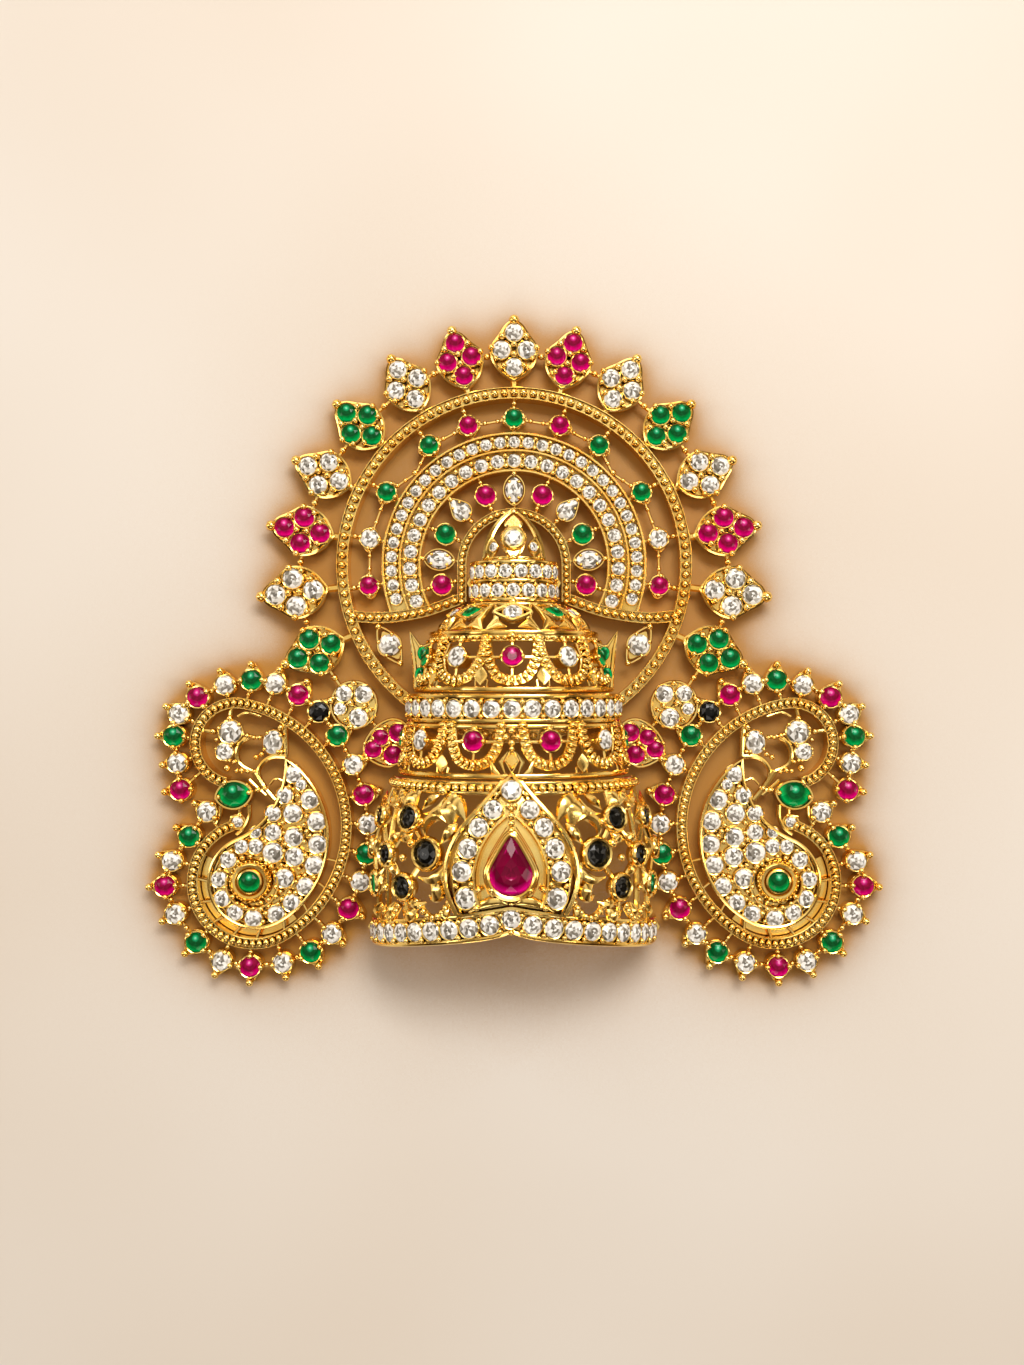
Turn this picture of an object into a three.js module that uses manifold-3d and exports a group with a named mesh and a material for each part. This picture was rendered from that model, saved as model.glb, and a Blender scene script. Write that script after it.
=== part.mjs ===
// Deity crown: a tiered half-round dome on a pierced sun halo, with a mango-shaped jewelled wing at each side.
// Millimetres. The crown lies on its back: +Y runs to the top of the halo, +Z out of the front, and z = 0 is
// the plane that it rests on. The origin is the middle of its outline on that plane. The two sides mirror in X.
import * as THREE from 'three';
import { mergeVertices } from 'three/addons/utils/BufferGeometryUtils.js';
import Module from 'manifold-3d';

const wasm = await Module();
wasm.setup();

// ---- driving dimensions ----
const gap = 0.3; // clearance kept between neighbouring pieces
const stoneSides = 8;
const tableShare = 0.58; // width of a stone's table over its girdle
const flat = { face: 3.6, collet: 3.0, table: 4.2, bed: 2.4 }; // heights of the flat metalwork and its stones
const halo = { x: 0, y: 14.8, ringInner: 27.8, ringOuter: 29.8 };
const innerArch = { inner: 7.95, outer: 9.5, foot: 8.4 };
const crossbar = { outerY: 6.3, dipX: 18, dipY: 4.9, innerX: 8.9, innerY: 9.2, width: 1.9 };
const paveArch = { inner: 15.8, middle: 19.1, outer: 22.0, rib: 0.6, reach: 118, steps: 20 };
const post = { width: 0.9, low: 0, high: 1.8 };
const wire = { width: 0.8, low: 0, high: 1.6 };

// The rays of the halo, from the top round to each side: where each stands, its size, and whether it has a point.
const rays = [
  { stone: 'clear', angle: 0, reach: 35.7, size: 1.0, point: 1 },
  { stone: 'ruby', angle: 14.9, reach: 35.3, size: 0.96, point: 1 },
  { stone: 'clear', angle: 30.8, reach: 34.9, size: 0.97, point: 1 },
  { stone: 'emerald', angle: 47.8, reach: 34.8, size: 0.95, point: 1 },
  { stone: 'clear', angle: 64.4, reach: 35.1, size: 1.0, point: 1 },
  { stone: 'ruby', angle: 80.8, reach: 35.7, size: 1.04, point: 1 },
  { stone: 'clear', angle: 97.2, reach: 36.8, size: 1.1, point: 1 },
  { stone: 'emerald', angle: 113.4, reach: 36.2, size: 1.0, point: 0.75 },
  { stone: 'clear', angle: 130.8, reach: 35.8, size: 0.82, point: 0 },
  { stone: 'ruby', angle: 144.2, reach: 36.8, size: 0.79, point: 0 },
];
const ray = { lobe: 1.75, alongPitch: 2.85, acrossPitch: 2.2, tip: 5.2, wall: 3.6 };

// The stones between ring and pave arch, and those between pave arch and inner arch.
const outerRow = { radius: 24.5, stoneRadius: 1.75, angles: [0, 18.2, 35.4, 60.3, 79.7, 98.1], dip: { angle: 47, radius: 22.9 } };
const innerRow = [
  { stone: 'clear', angle: 0, points: 2 },
  { stone: 'ruby', angle: 22.3, points: 0 },
  { stone: 'clear', angle: 44.3, points: 1 },
  { stone: 'emerald', angle: 66, points: 0 },
  { stone: 'clear', angle: 86, points: 2 },
  { stone: 'ruby', angle: 105.5, points: 0 },
];
const inner = { radius: 12.55, stoneRadius: 1.85, pointReach: 2.9 };
const leaf = { x: 20.9, y: 1.4, stoneRadius: 1.75, tip: 3.6, tail: 3.8, heading: 59 };

// The dome is a half ellipse in plan, springing from a plane above the flat metalwork.
const dome = { spring: 4.8, flatten: 0.8, wall: 1.3, sweep: 90 };
const tiers = {
  topBand: { top: 15.0, bottom: 8.3, topRadius: 7.3, bottomRadius: 7.3 },
  collar: { top: 8.0, bottom: 3.1, topRadius: 8.0, bottomRadius: 13.2 },
  upperGallery: { top: 2.8, bottom: -6.5, topRadius: 14.0, bottomRadius: 16.6 },
  middleBand: { top: -6.8, bottom: -11.2, topRadius: 17.8, bottomRadius: 17.8 },
  lowerGallery: { top: -11.5, bottom: -20.0, topRadius: 18.2, bottomRadius: 19.3 },
  baseGallery: { top: -20.3, bottom: -43.0, topRadius: 20.1, bottomRadius: 23.4, belly: 1.6 },
  baseBand: { top: -43.3, bottom: -47.6, topRadius: 23.6, bottomRadius: 23.6 },
};
const finial = { bottom: 15.3, tip: 22.3, radius: 7.2 };
const cusp = { rise: 4.6, spread: 17 }; // the base band climbs to a cusp at the front
const rail = { height: 1.0, proud: 0.5 };
const loop = { radius: 3.5, stoneRadius: 1.8 };
const centreLeaf = {
  apex: -21.0, halfWidth: 9.1, widestY: -34.5, footY: -41.6, footHalf: 8.0, wire: 0.9, stoneRadius: 1.38,
  stones: [
    { x: 0, y: -23.4 }, { x: 2.9, y: -25.0 }, { x: 4.8, y: -27.6 }, { x: 6.3, y: -30.6 }, { x: 7.1, y: -34.0 },
    { x: 6.7, y: -37.6 },
  ],
};
const pear = { y: -32.3, radius: 3.4, tip: 5.4, bezel: 1.3 };
const darkStones = [
  { angle: 33.5, y: -31.9, radius: 2.0 },
  { angle: 45.5, y: -26.9, radius: 1.75 },
  { angle: 46, y: -37.2, radius: 1.75 },
  { angle: 58, y: -31.9, radius: 1.75 },
  { angle: 70, y: -26.9, radius: 1.6 },
  { angle: 70, y: -37.2, radius: 1.6 },
  { angle: 81.5, y: -31.9, radius: 1.6 },
];

// The openings pierced between the stones of the base, each by its place and its corners along and up from there.
const baseWindows = [
  { angle: 46, y: -32, corners: [[2.4, 0], [0, 3.2], [-2.4, 0], [0, -3.2]] },
  { angle: 70, y: -32, corners: [[2.2, 0], [0, 3.3], [-2.2, 0], [0, -3.3]] },
  { angle: 58, y: -25.6, corners: [[2.4, 2.6], [-2.4, 2.6], [0, -3.0]] },
  { angle: 58, y: -38.4, corners: [[0, 3.2], [-2.5, -2.7], [2.5, -2.7]] },
  { angle: 34.5, y: -25.4, corners: [[2.6, 2.6], [-3.0, 2.6], [-1.2, -2.6]] },
  { angle: 35.5, y: -38.2, corners: [[0.2, 3.0], [-2.4, -2.2], [2.4, -2.8]] },
];

// Each wing's beaded frame is three tangent arcs, run from the head's curl over the back to the cheek.
const wing = { headX: 46.6, headY: -15.1, start: -75, frameWidth: 1.8, stoneRadius: 1.85 };
const wingArcs = [
  { radius: 6.8, to: 100 },
  { radius: 21, to: 240 },
  { radius: 10.2, to: 430 },
];
// The border runs through these places, from the head's curl round to the cheek, with three stones to a span.
const borderStones = 28;
const borderRun = [
  { x: 55.9, y: -22.9 }, { x: 56.2, y: -10.2 }, { x: 44.0, y: -4.5 }, { x: 32.7, y: -9.8 }, { x: 25.2, y: -23.7 },
  { x: 25.8, y: -38.3 }, { x: 34.1, y: -50.1 }, { x: 49.1, y: -51.6 }, { x: 58.5, y: -39.0 }, { x: 51.5, y: -26.6 },
];
const mango = {
  cheek: { x: 43.42, y: -38.27, radius: 8.0 },
  back: { x: 47.0, y: -31.0, radius: 16.1 },
  hollow: { x: 51.4, y: -18.95, radius: 12.9 },
  face: 2.6, rim: 3.4, rimWidth: 0.6,
};
const eye = { x: 44.2, y: -38.2, collet: 2.9, stoneRadius: 1.75 };
const marquise = { x: 47.2, y: -24.3, halfLength: 2.75, halfHeight: 2.05 };
const crest = [
  { x: 48.3, y: -13.9, radius: 1.95 },
  { x: 48.9, y: -17.3, radius: 1.4 },
  { x: 41.3, y: -15.2, radius: 1.9 },
];

// ---- materials ----
const metal = (color) => new THREE.MeshStandardMaterial({ color, metalness: 1, roughness: 0.22 });
const glass = (color) => new THREE.MeshStandardMaterial({ color, metalness: 0, roughness: 0.08 });
const gold = metal(0xe2a93b);
const stones = {
  clear: glass(0xe9ecee), ruby: glass(0xb80a55), emerald: glass(0x067a40), onyx: glass(0x16181a),
};

// ---- making and joining solids ----
function solid(geometry) {
  const bare = geometry.index ? geometry.toNonIndexed() : geometry.clone();
  bare.deleteAttribute('normal');
  bare.deleteAttribute('uv');
  const merged = mergeVertices(bare, 1e-4);
  const vertProperties = merged.attributes.position.array;
  const triVerts = new Uint32Array(merged.index.array);
  const made = new wasm.Manifold(new wasm.Mesh({ numProp: 3, vertProperties, triVerts }));
  if (made.volume() > 0) return made;
  triVerts.reverse(); // a loft run the other way comes out inside out, so its faces are turned round
  return new wasm.Manifold(new wasm.Mesh({ numProp: 3, vertProperties, triVerts }));
}

const join = (pieces) => pieces.reduce((whole, next) => whole.add(next));
const cut = (whole, tools) => tools.reduce((left, tool) => left.subtract(tool), whole);

const crown = new THREE.Group();

// A piece goes in at its own place; a mirrored one has its faces turned round.
function addMesh(name, made, material, matrix = new THREE.Matrix4()) {
  const { vertProperties, triVerts } = made.getMesh();
  const index = new Uint32Array(triVerts);
  if (matrix.determinant() < 0) index.reverse();
  const geometry = new THREE.BufferGeometry();
  geometry.setAttribute('position', new THREE.BufferAttribute(new Float32Array(vertProperties), 3));
  geometry.setIndex(new THREE.BufferAttribute(index, 1));
  geometry.applyMatrix4(matrix);
  geometry.computeVertexNormals();
  const mesh = new THREE.Mesh(geometry, material);
  mesh.name = name;
  crown.add(mesh);
}

const mirror = new THREE.Matrix4().makeScale(-1, 1, 1);
const mirroredPath = (path) => path.map((p) => new THREE.Vector2(-p.x, p.y));

// A geometry moved by a matrix and made a solid.
const placed = (geometry, matrix) => solid(geometry.clone().applyMatrix4(matrix));

// ---- outlines in a plane ----
const radians = THREE.MathUtils.degToRad;
const sine = (degrees) => Math.sin(radians(degrees));
const cosine = (degrees) => Math.cos(radians(degrees));

function arcPoints(x, y, radius, from, to, steps) {
  const points = [];
  for (let i = 0; i <= steps; i += 1) {
    const angle = from + ((to - from) * i) / steps;
    points.push(new THREE.Vector2(x + radius * cosine(angle), y + radius * sine(angle)));
  }
  return points;
}

function slab(outline, low, high, holes = []) {
  const shape = new THREE.Shape(THREE.ShapeUtils.isClockWise(outline) ? [...outline].reverse() : outline);
  holes.forEach((hole) => shape.holes.push(new THREE.Path(hole)));
  return new THREE.ExtrudeGeometry(shape, { depth: high - low, bevelEnabled: false }).translate(0, 0, low);
}

// A flat strip of even width along a path.
function strip(path, width, low, high) {
  const left = [];
  const right = [];
  path.forEach((point, i) => {
    const before = path[Math.max(i - 1, 0)];
    const after = path[Math.min(i + 1, path.length - 1)];
    const along = after.clone().sub(before).normalize();
    const across = new THREE.Vector2(-along.y, along.x).multiplyScalar(width / 2);
    left.push(point.clone().add(across));
    right.unshift(point.clone().sub(across));
  });
  return solid(slab([...left, ...right], low, high));
}

const bar = (ax, ay, bx, by, size = post) =>
  strip([new THREE.Vector2(ax, ay), new THREE.Vector2(bx, by)], size.width, size.low, size.high);

// A rounded body with up to two points along its own x axis.
function dropOutline(radius, tip, tail, halfWidth = radius, steps = 3) {
  const open = (reach) => (reach > radius ? THREE.MathUtils.radToDeg(Math.acos(radius / reach)) : 0);
  const side = [];
  const from = tip ? open(tip) : 180 / (2 * steps + 2);
  const to = 180 - (tail ? open(tail) : 180 / (2 * steps + 2));
  arcPoints(0, 0, radius, from, to, steps).forEach((p) => side.push(new THREE.Vector2(p.x, (p.y * halfWidth) / radius)));
  const other = side.map((p) => new THREE.Vector2(p.x, -p.y)).reverse();
  const ends = { tip: tip ? [new THREE.Vector2(tip, 0)] : [], tail: tail ? [new THREE.Vector2(-tail, 0)] : [] };
  return [...ends.tip, ...side, ...ends.tail, ...other];
}

// A cut stone over an outline: straight to its girdle, then one row of crown facets up to its table.
function cutStone(outline, low, girdle, table) {
  const rings = [[1, low], [1, girdle], [tableShare, table]].map(([share, z]) =>
    outline.map((p) => new THREE.Vector3(p.x * share, p.y * share, z)));
  return loftedGeometry(rings, outline.map((p) => [p.x, p.y]));
}

const roundOutline = (radius, turn = 0) => arcPoints(0, 0, radius, turn + 22.5, turn + 337.5, stoneSides - 1);

function lathed(profile, sides = stoneSides) {
  const points = profile.map(([r, z]) => new THREE.Vector2(r, z));
  return new THREE.LatheGeometry(points, sides).rotateX(Math.PI / 2);
}

// A stone fused in its collet, standing on the flat metalwork's back plane.
const setStone = (radius, x, y, turn = 0) =>
  solid(cutStone(roundOutline(radius, turn), 0, flat.collet, flat.table).translate(x, y, 0));

// A point of the halo, its angle taken from the top round towards +X.
const haloX = (radius, angle) => halo.x + radius * sine(angle);
const haloY = (radius, angle) => halo.y + radius * cosine(angle);

// Turns a shape drawn with +x outwards to stand at an angle of the halo.
function haloPlace(radius, angle) {
  return new THREE.Matrix4()
    .makeTranslation(haloX(radius, angle), haloY(radius, angle), 0)
    .multiply(new THREE.Matrix4().makeRotationZ(radians(90 - angle)));
}

// ---- the halo ----
const crossbarPath = new THREE.QuadraticBezierCurve(
  new THREE.Vector2(halo.ringInner, crossbar.outerY),
  new THREE.Vector2(crossbar.dipX, crossbar.dipY),
  new THREE.Vector2(crossbar.innerX, crossbar.innerY),
).getPoints(7);

function rayStations() {
  return rays.flatMap((row, i) =>
    (i ? [1, -1] : [1]).map((side) => ({ ...row, angle: row.angle * side })));
}

function haloFrame() {
  const circle = (radius, steps) => arcPoints(halo.x, halo.y, radius, 0, 360, steps).slice(1);
  const ring = solid(slab(circle(halo.ringOuter, 38), 0, flat.face, [circle(halo.ringInner, 38)]));
  const outside = arcPoints(halo.x, halo.y, innerArch.outer, 0, 180, 14);
  const inside = arcPoints(halo.x, halo.y, innerArch.inner, 180, 0, 14);
  const foot = (radius) => new THREE.Vector2(radius, innerArch.foot);
  const arch = solid(slab([
    foot(innerArch.outer), ...outside, foot(-innerArch.outer), foot(-innerArch.inner), ...inside, foot(innerArch.inner),
  ], 0, flat.face));
  const bars = [crossbarPath, mirroredPath(crossbarPath)].map((path) => strip(path, crossbar.width, 0, flat.face));
  const stubs = mirrorRow(innerRow).filter(({ points }) => points < 2).map(({ angle }) => {
    const from = innerArch.outer - 0.5;
    const to = inner.radius - inner.stoneRadius - gap;
    return bar(haloX(from, angle), haloY(from, angle), haloX(to, angle), haloY(to, angle));
  });
  return join([ring, arch, ...bars, ...stubs]);
}

const mirrorRow = (rows) =>
  rows.flatMap((row) => (row.angle ? [row, { ...row, angle: -row.angle, left: true }] : [row]));

// The pave arch is a double channel with three ribs, cut off just above the crossbars.
function paveChannel() {
  const { inner: r0, middle: r1, outer: r2, rib, reach, steps } = paveArch;
  const section = [
    [r0, 0], [r2, 0], [r2, flat.face], [r2 - rib, flat.face], [r2 - rib, flat.bed], [r1 + rib / 2, flat.bed],
    [r1 + rib / 2, flat.face], [r1 - rib / 2, flat.face], [r1 - rib / 2, flat.bed], [r0 + rib, flat.bed],
    [r0 + rib, flat.face], [r0, flat.face],
  ];
  const rings = [];
  for (let i = 0; i <= steps; i += 1) {
    const angle = -reach + (2 * reach * i) / steps;
    rings.push(section.map(([r, z]) => new THREE.Vector3(haloX(r, angle), haloY(r, angle), z)));
  }
  const arch = loft(rings, section);
  const lift = crossbar.width / 2 + gap;
  const edge = crossbarPath.map((p) => new THREE.Vector2(p.x, p.y + lift));
  const below = [...edge, new THREE.Vector2(0, edge.at(-1).y), new THREE.Vector2(0, -20),
    new THREE.Vector2(halo.ringInner, -20)];
  return cut(arch, [below, mirroredPath(below)].map((outline) => solid(slab(outline, -1, 6))));
}

// A skin through rings of points with the same count, closed at both ends by the section's own outline.
function loftedGeometry(rings, section) {
  const count = rings[0].length;
  const positions = rings.flat().flatMap((p) => [p.x, p.y, p.z]);
  const faces = [];
  for (let i = 0; i + 1 < rings.length; i += 1) {
    for (let j = 0; j < count; j += 1) {
      const a = i * count + j;
      const b = i * count + ((j + 1) % count);
      faces.push(a, b, b + count, a, b + count, a + count);
    }
  }
  const outline = section.map(([u, v]) => new THREE.Vector2(u, v));
  const last = (rings.length - 1) * count;
  const turned = THREE.ShapeUtils.isClockWise(outline);
  THREE.ShapeUtils.triangulateShape(turned ? [...outline].reverse() : outline, []).forEach((triangle) => {
    const [a, b, c] = triangle.map((k) => (turned ? count - 1 - k : k));
    if (turned) faces.push(a, b, c, last + a, last + c, last + b);
    else faces.push(a, c, b, last + a, last + b, last + c);
  });
  const geometry = new THREE.BufferGeometry();
  geometry.setAttribute('position', new THREE.Float32BufferAttribute(positions, 3));
  geometry.setIndex(faces);
  return geometry;
}

const loft = (rings, section) => solid(loftedGeometry(rings, section));

// The outer row hangs on one fine wire that dips to the pave arch between its second and third stones.
function outerString() {
  const { radius, stoneRadius, angles, dip } = outerRow;
  const side = [...angles.slice(0, 3).map((angle) => ({ angle, radius, stone: true })), dip,
    ...angles.slice(3).map((angle) => ({ angle, radius, stone: true }))];
  const stations = [...side.slice(1).reverse().map((s) => ({ ...s, angle: -s.angle })), ...side];
  const path = stations.map((s) => new THREE.Vector2(haloX(s.radius, s.angle), haloY(s.radius, s.angle)));
  const pieces = [strip(path, wire.width, wire.low, wire.high)];
  stations.filter((s) => s.stone).forEach(({ angle }) => {
    pieces.push(setStone(stoneRadius, haloX(radius, angle), haloY(radius, angle), -angle));
  });
  return join(pieces);
}

function innerStone({ points }) {
  const { stoneRadius, pointReach } = inner;
  if (!points) return setStone(stoneRadius, 0, 0);
  const collet = solid(slab(dropOutline(stoneRadius, pointReach, points > 1 ? pointReach - 0.2 : 0), 0, flat.collet));
  const stone = solid(cutStone(roundOutline(stoneRadius * 0.94), 1, flat.collet, flat.table));
  return join([collet, stone]);
}

function leafStone() {
  const collet = solid(slab(dropOutline(leaf.stoneRadius + 0.35, leaf.tip, leaf.tail), 0, flat.collet));
  const stone = solid(cutStone(roundOutline(leaf.stoneRadius), 1, flat.collet, flat.table));
  return join([collet, stone]);
}

const leafPlace = new THREE.Matrix4().makeTranslation(leaf.x, leaf.y, 0)
  .multiply(new THREE.Matrix4().makeRotationZ(radians(leaf.heading)));

// A ray is a deep cup with a lobe for each of its four stones, pointed outwards and with a tail in to the ring.
function haloRay({ reach, size, point }) {
  const { lobe, alongPitch, acrossPitch, tip, wall } = ray;
  const tail = (reach - halo.ringOuter - gap) / size;
  const spread = point ? 1 : 0.9;
  const side = [
    ...arcPoints(alongPitch * spread, 0, lobe, point ? 38 : 22, 70, 1), ...arcPoints(0, acrossPitch, lobe, 55, 125, 2),
    ...arcPoints(-alongPitch * spread, 0, lobe, 110, 150, 1),
  ];
  const end = point ? [new THREE.Vector2(tip * (0.9 + 0.1 * point), 0)] : [];
  const other = side.map((p) => new THREE.Vector2(p.x, -p.y)).reverse();
  return solid(slab([...end, ...side, new THREE.Vector2(-tail, 0), ...other], 0, wall / size));
}

const rayPlace = ({ angle, reach, size }) =>
  haloPlace(reach, angle).multiply(new THREE.Matrix4().makeScale(size, size, size));

// ---- the dome ----
function radiusAt(tier, y) {
  const share = THREE.MathUtils.clamp((tier.top - y) / (tier.top - tier.bottom), 0, 1);
  const bulge = (tier.belly ?? 0) * Math.sin(Math.PI * share ** 0.8);
  return tier.topRadius + (tier.bottomRadius - tier.topRadius) * share + bulge;
}

const domePoint = (radius, angle, y) => new THREE.Vector3(
  radius * sine(angle), y, dome.spring + dome.flatten * radius * cosine(angle));

// A place on a tier's skin: x runs round the dome, y up, and z straight out of the skin.
function domePlace(tier, angle, y, out = 0) {
  const step = 0.1;
  const here = domePoint(radiusAt(tier, y), angle, y);
  const round = domePoint(radiusAt(tier, y), angle + 1, y).sub(here).normalize();
  const rise = domePoint(radiusAt(tier, y + step), angle, y + step).sub(here).normalize();
  const outward = round.clone().cross(rise).normalize();
  const up = outward.clone().cross(round).normalize();
  here.addScaledVector(outward, out);
  return new THREE.Matrix4().makeBasis(round, up, outward).setPosition(here);
}

// A band round the dome. Its section gives radius and height at each angle, and legs carry it down to the back plane.
function domeBand(section, steps, legs = false) {
  const rings = [];
  for (let i = 0; i <= steps; i += 1) {
    const angle = -dome.sweep + (2 * dome.sweep * i) / steps;
    rings.push(section(angle).map(([radius, y]) => domePoint(radius, angle, y)));
  }
  if (legs) {
    const dropped = (points) => points.map((p) => new THREE.Vector3(p.x, p.y, 0));
    rings.unshift(dropped(rings[0]));
    rings.push(dropped(rings.at(-1)));
  }
  return loft(rings, section(0));
}

// A pierced skin between a tier's two raised rails. Each window is cut straight through at its place.
function piercedTier(tier, windows, steps) {
  const { top, bottom } = tier;
  const { height, proud } = rail;
  const at = (y, out) => [radiusAt(tier, y) + out, y];
  const skin = domeBand(() => [
    at(bottom, -dome.wall), at(bottom, proud), at(bottom + height, proud), at(bottom + height, 0),
    ...(tier.belly ? [at((top + 2 * bottom) / 3, 0), at((2 * top + bottom) / 3, 0)] : []),
    at(top - height, 0), at(top - height, proud), at(top, proud), at(top, -dome.wall),
    ...(tier.belly ? [at((top + bottom) / 2, -dome.wall)] : []),
  ], steps);
  return cut(skin, windows.map(({ angle, y, corners }) => placed(
    slab(corners.map(([u, v]) => new THREE.Vector2(u, v)), -4, 4), domePlace(tier, angle, y))));
}

// A bar that follows a path of angle and height over a tier.
function skinBar(tier, path, width, out, height) {
  const rings = path.map(([angle, y], i) => {
    const [a0, y0] = path[Math.max(i - 1, 0)];
    const [a1, y1] = path[Math.min(i + 1, path.length - 1)];
    const along = domePoint(radiusAt(tier, y1), a1, y1).sub(domePoint(radiusAt(tier, y0), a0, y0)).normalize();
    const place = domePlace(tier, angle, y);
    const outward = new THREE.Vector3().setFromMatrixColumn(place, 2);
    const across = outward.clone().cross(along).normalize().multiplyScalar(width / 2);
    const at = (side, depth) => new THREE.Vector3().setFromMatrixPosition(place)
      .addScaledVector(across, side).addScaledVector(outward, depth);
    return [at(-1, out), at(1, out), at(1, out + height), at(-1, out + height)];
  });
  return loft(rings, [[-1, 0], [1, 0], [1, 1], [-1, 1]]);
}

// Moves a length round the dome to degrees of the ellipse at that place.
const degreesFor = (tier, y, length, angle) => {
  const r = radiusAt(tier, y);
  const stretch = Math.hypot(cosine(angle), dome.flatten * sine(angle));
  return THREE.MathUtils.radToDeg(length / (r * stretch));
};

function domeStone(tier, angle, y, radius, out = 0.3, low = -dome.wall) {
  return placed(cutStone(roundOutline(radius), low, out + 0.5, out + 1.3), domePlace(tier, angle, y));
}

// A gallery's round loops are openings to each side of a stone, with three-cornered gaps between the loops.
function gallery(tier, angles, stoneY, ownStone) {
  const crescent = (side) => [[118, loop.radius], [180, loop.radius + 0.2], [242, loop.radius], [180, 1.3]]
    .map(([turn, r]) => [side * r * cosine(turn), r * sine(turn)]);
  const whole = angles.filter((angle) => Math.abs(angle) < 80);
  const between = angles.slice(1).map((angle, i) => (angle + angles[i]) / 2);
  const foot = tier.bottom + rail.height + 0.4;
  const windows = [
    ...whole.flatMap((angle) => [1, -1].map((side) => ({ angle, y: stoneY, corners: crescent(side) }))),
    ...between.map((angle) => ({ angle, y: foot, corners: [[2.1, 0], [0, 2.8], [-2.1, 0]] })),
  ];
  const seats = whole.map((angle) => (ownStone(angle)
    ? placed(lathed([[0, -dome.wall], [loop.stoneRadius, -dome.wall], [loop.stoneRadius, 0.3], [0, 0.3]]),
      domePlace(tier, angle, stoneY))
    : domeStone(tier, angle, stoneY, loop.stoneRadius)));
  return join([piercedTier(tier, windows, 12), ...seats]);
}

// A loose ruby that stands on its gallery's seat.
function galleryRuby(tier, angle, y) {
  return placed(cutStone(roundOutline(loop.stoneRadius), 0.3 + gap, 1.0, 1.8), domePlace(tier, angle, y));
}

function stoneBand(tier, steps, legs = false, lift = () => 0) {
  return domeBand((angle) => {
    const low = tier.bottom + lift(angle);
    const high = tier.top + lift(angle);
    const r = tier.topRadius;
    return [
      [r - dome.wall, low], [r + 0.5, low], [r + 0.5, low + 0.7], [r - 0.2, low + 0.7],
      [r - 0.2, high - 0.7], [r + 0.5, high - 0.7], [r + 0.5, high], [r - dome.wall, high],
    ];
  }, steps, legs);
}

const cuspLift = (angle) => cusp.rise * Math.exp(-Math.abs(angle) / cusp.spread);

// The top band carries two rows of stones between three ribs.
function topBand() {
  const tier = tiers.topBand;
  const middle = (tier.top + tier.bottom) / 2;
  const r = tier.topRadius;
  return domeBand(() => [
    [r - dome.wall, tier.bottom], [r + 0.3, tier.bottom], [r + 0.3, tier.bottom + 0.5], [r - 0.3, tier.bottom + 0.5],
    [r - 0.3, middle - 0.3], [r + 0.3, middle - 0.3], [r + 0.3, middle + 0.3], [r - 0.3, middle + 0.3],
    [r - 0.3, tier.top - 0.5], [r + 0.3, tier.top - 0.5], [r + 0.3, tier.top], [r - dome.wall, tier.top],
  ], 12, true);
}

// The finial is half of a pointed dome, pierced beside its medallion.
function finialDome() {
  const { bottom, tip, radius } = finial;
  const outside = [];
  const steps = 5;
  for (let i = 0; i <= steps; i += 1) {
    const share = i / steps;
    outside.push([radius * Math.cos((share * Math.PI) / 2) ** 0.85, bottom + (tip - bottom) * share]);
  }
  const inside = outside.slice(0, -2).map(([r, y]) => [r - dome.wall, y]).reverse();
  const profile = [...outside, [0, tip - 1.6], ...inside].map(([r, y]) => new THREE.Vector2(Math.max(r, 0), y));
  profile.push(profile[0].clone());
  const full = solid(new THREE.LatheGeometry(profile, 16).scale(1, 1, dome.flatten).translate(0, 0, dome.spring));
  const front = solid(new THREE.BoxGeometry(40, 40, 40).translate(0, bottom, dome.spring + 20));
  const half = full.intersect(front);
  const tier = { top: tip, bottom, topRadius: 0.5, bottomRadius: radius, belly: 2.2 };
  const windows = [-50, 50].map((angle) => placed(
    slab([[-0.9, 0], [0.9, 0], [0.75, 1.6], [0, 2.6], [-0.75, 1.6]].map(([u, v]) => new THREE.Vector2(u, v)), -4, 4),
    domePlace(tier, angle, bottom + 0.9)));
  const medallion = domeStone(tier, 0, bottom + 3.4, 2.0, 0);
  return join([cut(half, windows), medallion]);
}

// The collar flares like a lotus, with an eye-shaped setting on each petal and gaps between.
function collar() {
  const tier = tiers.collar;
  const skin = domeBand(() => [
    [tier.bottomRadius - dome.wall, tier.bottom], [tier.bottomRadius, tier.bottom],
    [tier.topRadius, tier.top], [tier.topRadius - dome.wall, tier.top],
  ], 12);
  const middle = (tier.top + tier.bottom) / 2;
  const frames = [-40, 0, 40].map((angle) =>
    placed(slab(dropOutline(1.75, 3.4, 3.4, 1.75, 2), -0.9, 0.6), domePlace(tier, angle, middle)));
  const eyes = [-40, 0, 40].map((angle) => domeStone(tier, angle, middle, 1.5, 0.2, 0));
  const opening = [[1.7, -2.3], [0, 0.6], [-1.7, -2.3]].map(([u, v]) => new THREE.Vector2(u, v));
  const windows = [-20, 20].map((angle) => placed(slab(opening, -3, 3), domePlace(tier, angle, middle)));
  return join([cut(skin, windows), ...frames, ...eyes]);
}

// ---- the leaf at the front of the base, and the gallery round it ----
// Its right-hand edge, from the apex down: length round the dome, then height.
function leafEdge(steps, grow = 0) {
  const { apex, halfWidth, widestY, footY, footHalf } = centreLeaf;
  const curve = new THREE.SplineCurve([
    new THREE.Vector2(0, apex + grow * 1.6),
    new THREE.Vector2(halfWidth * 0.5 + grow, apex - 5.2),
    new THREE.Vector2(halfWidth * 0.9 + grow, apex - 10.2),
    new THREE.Vector2(halfWidth + grow, widestY),
    new THREE.Vector2(footHalf + grow, footY - grow),
  ]);
  return curve.getPoints(steps);
}

const onBase = (p) => [degreesFor(tiers.baseGallery, p.y, p.x, 0), p.y];

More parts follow.
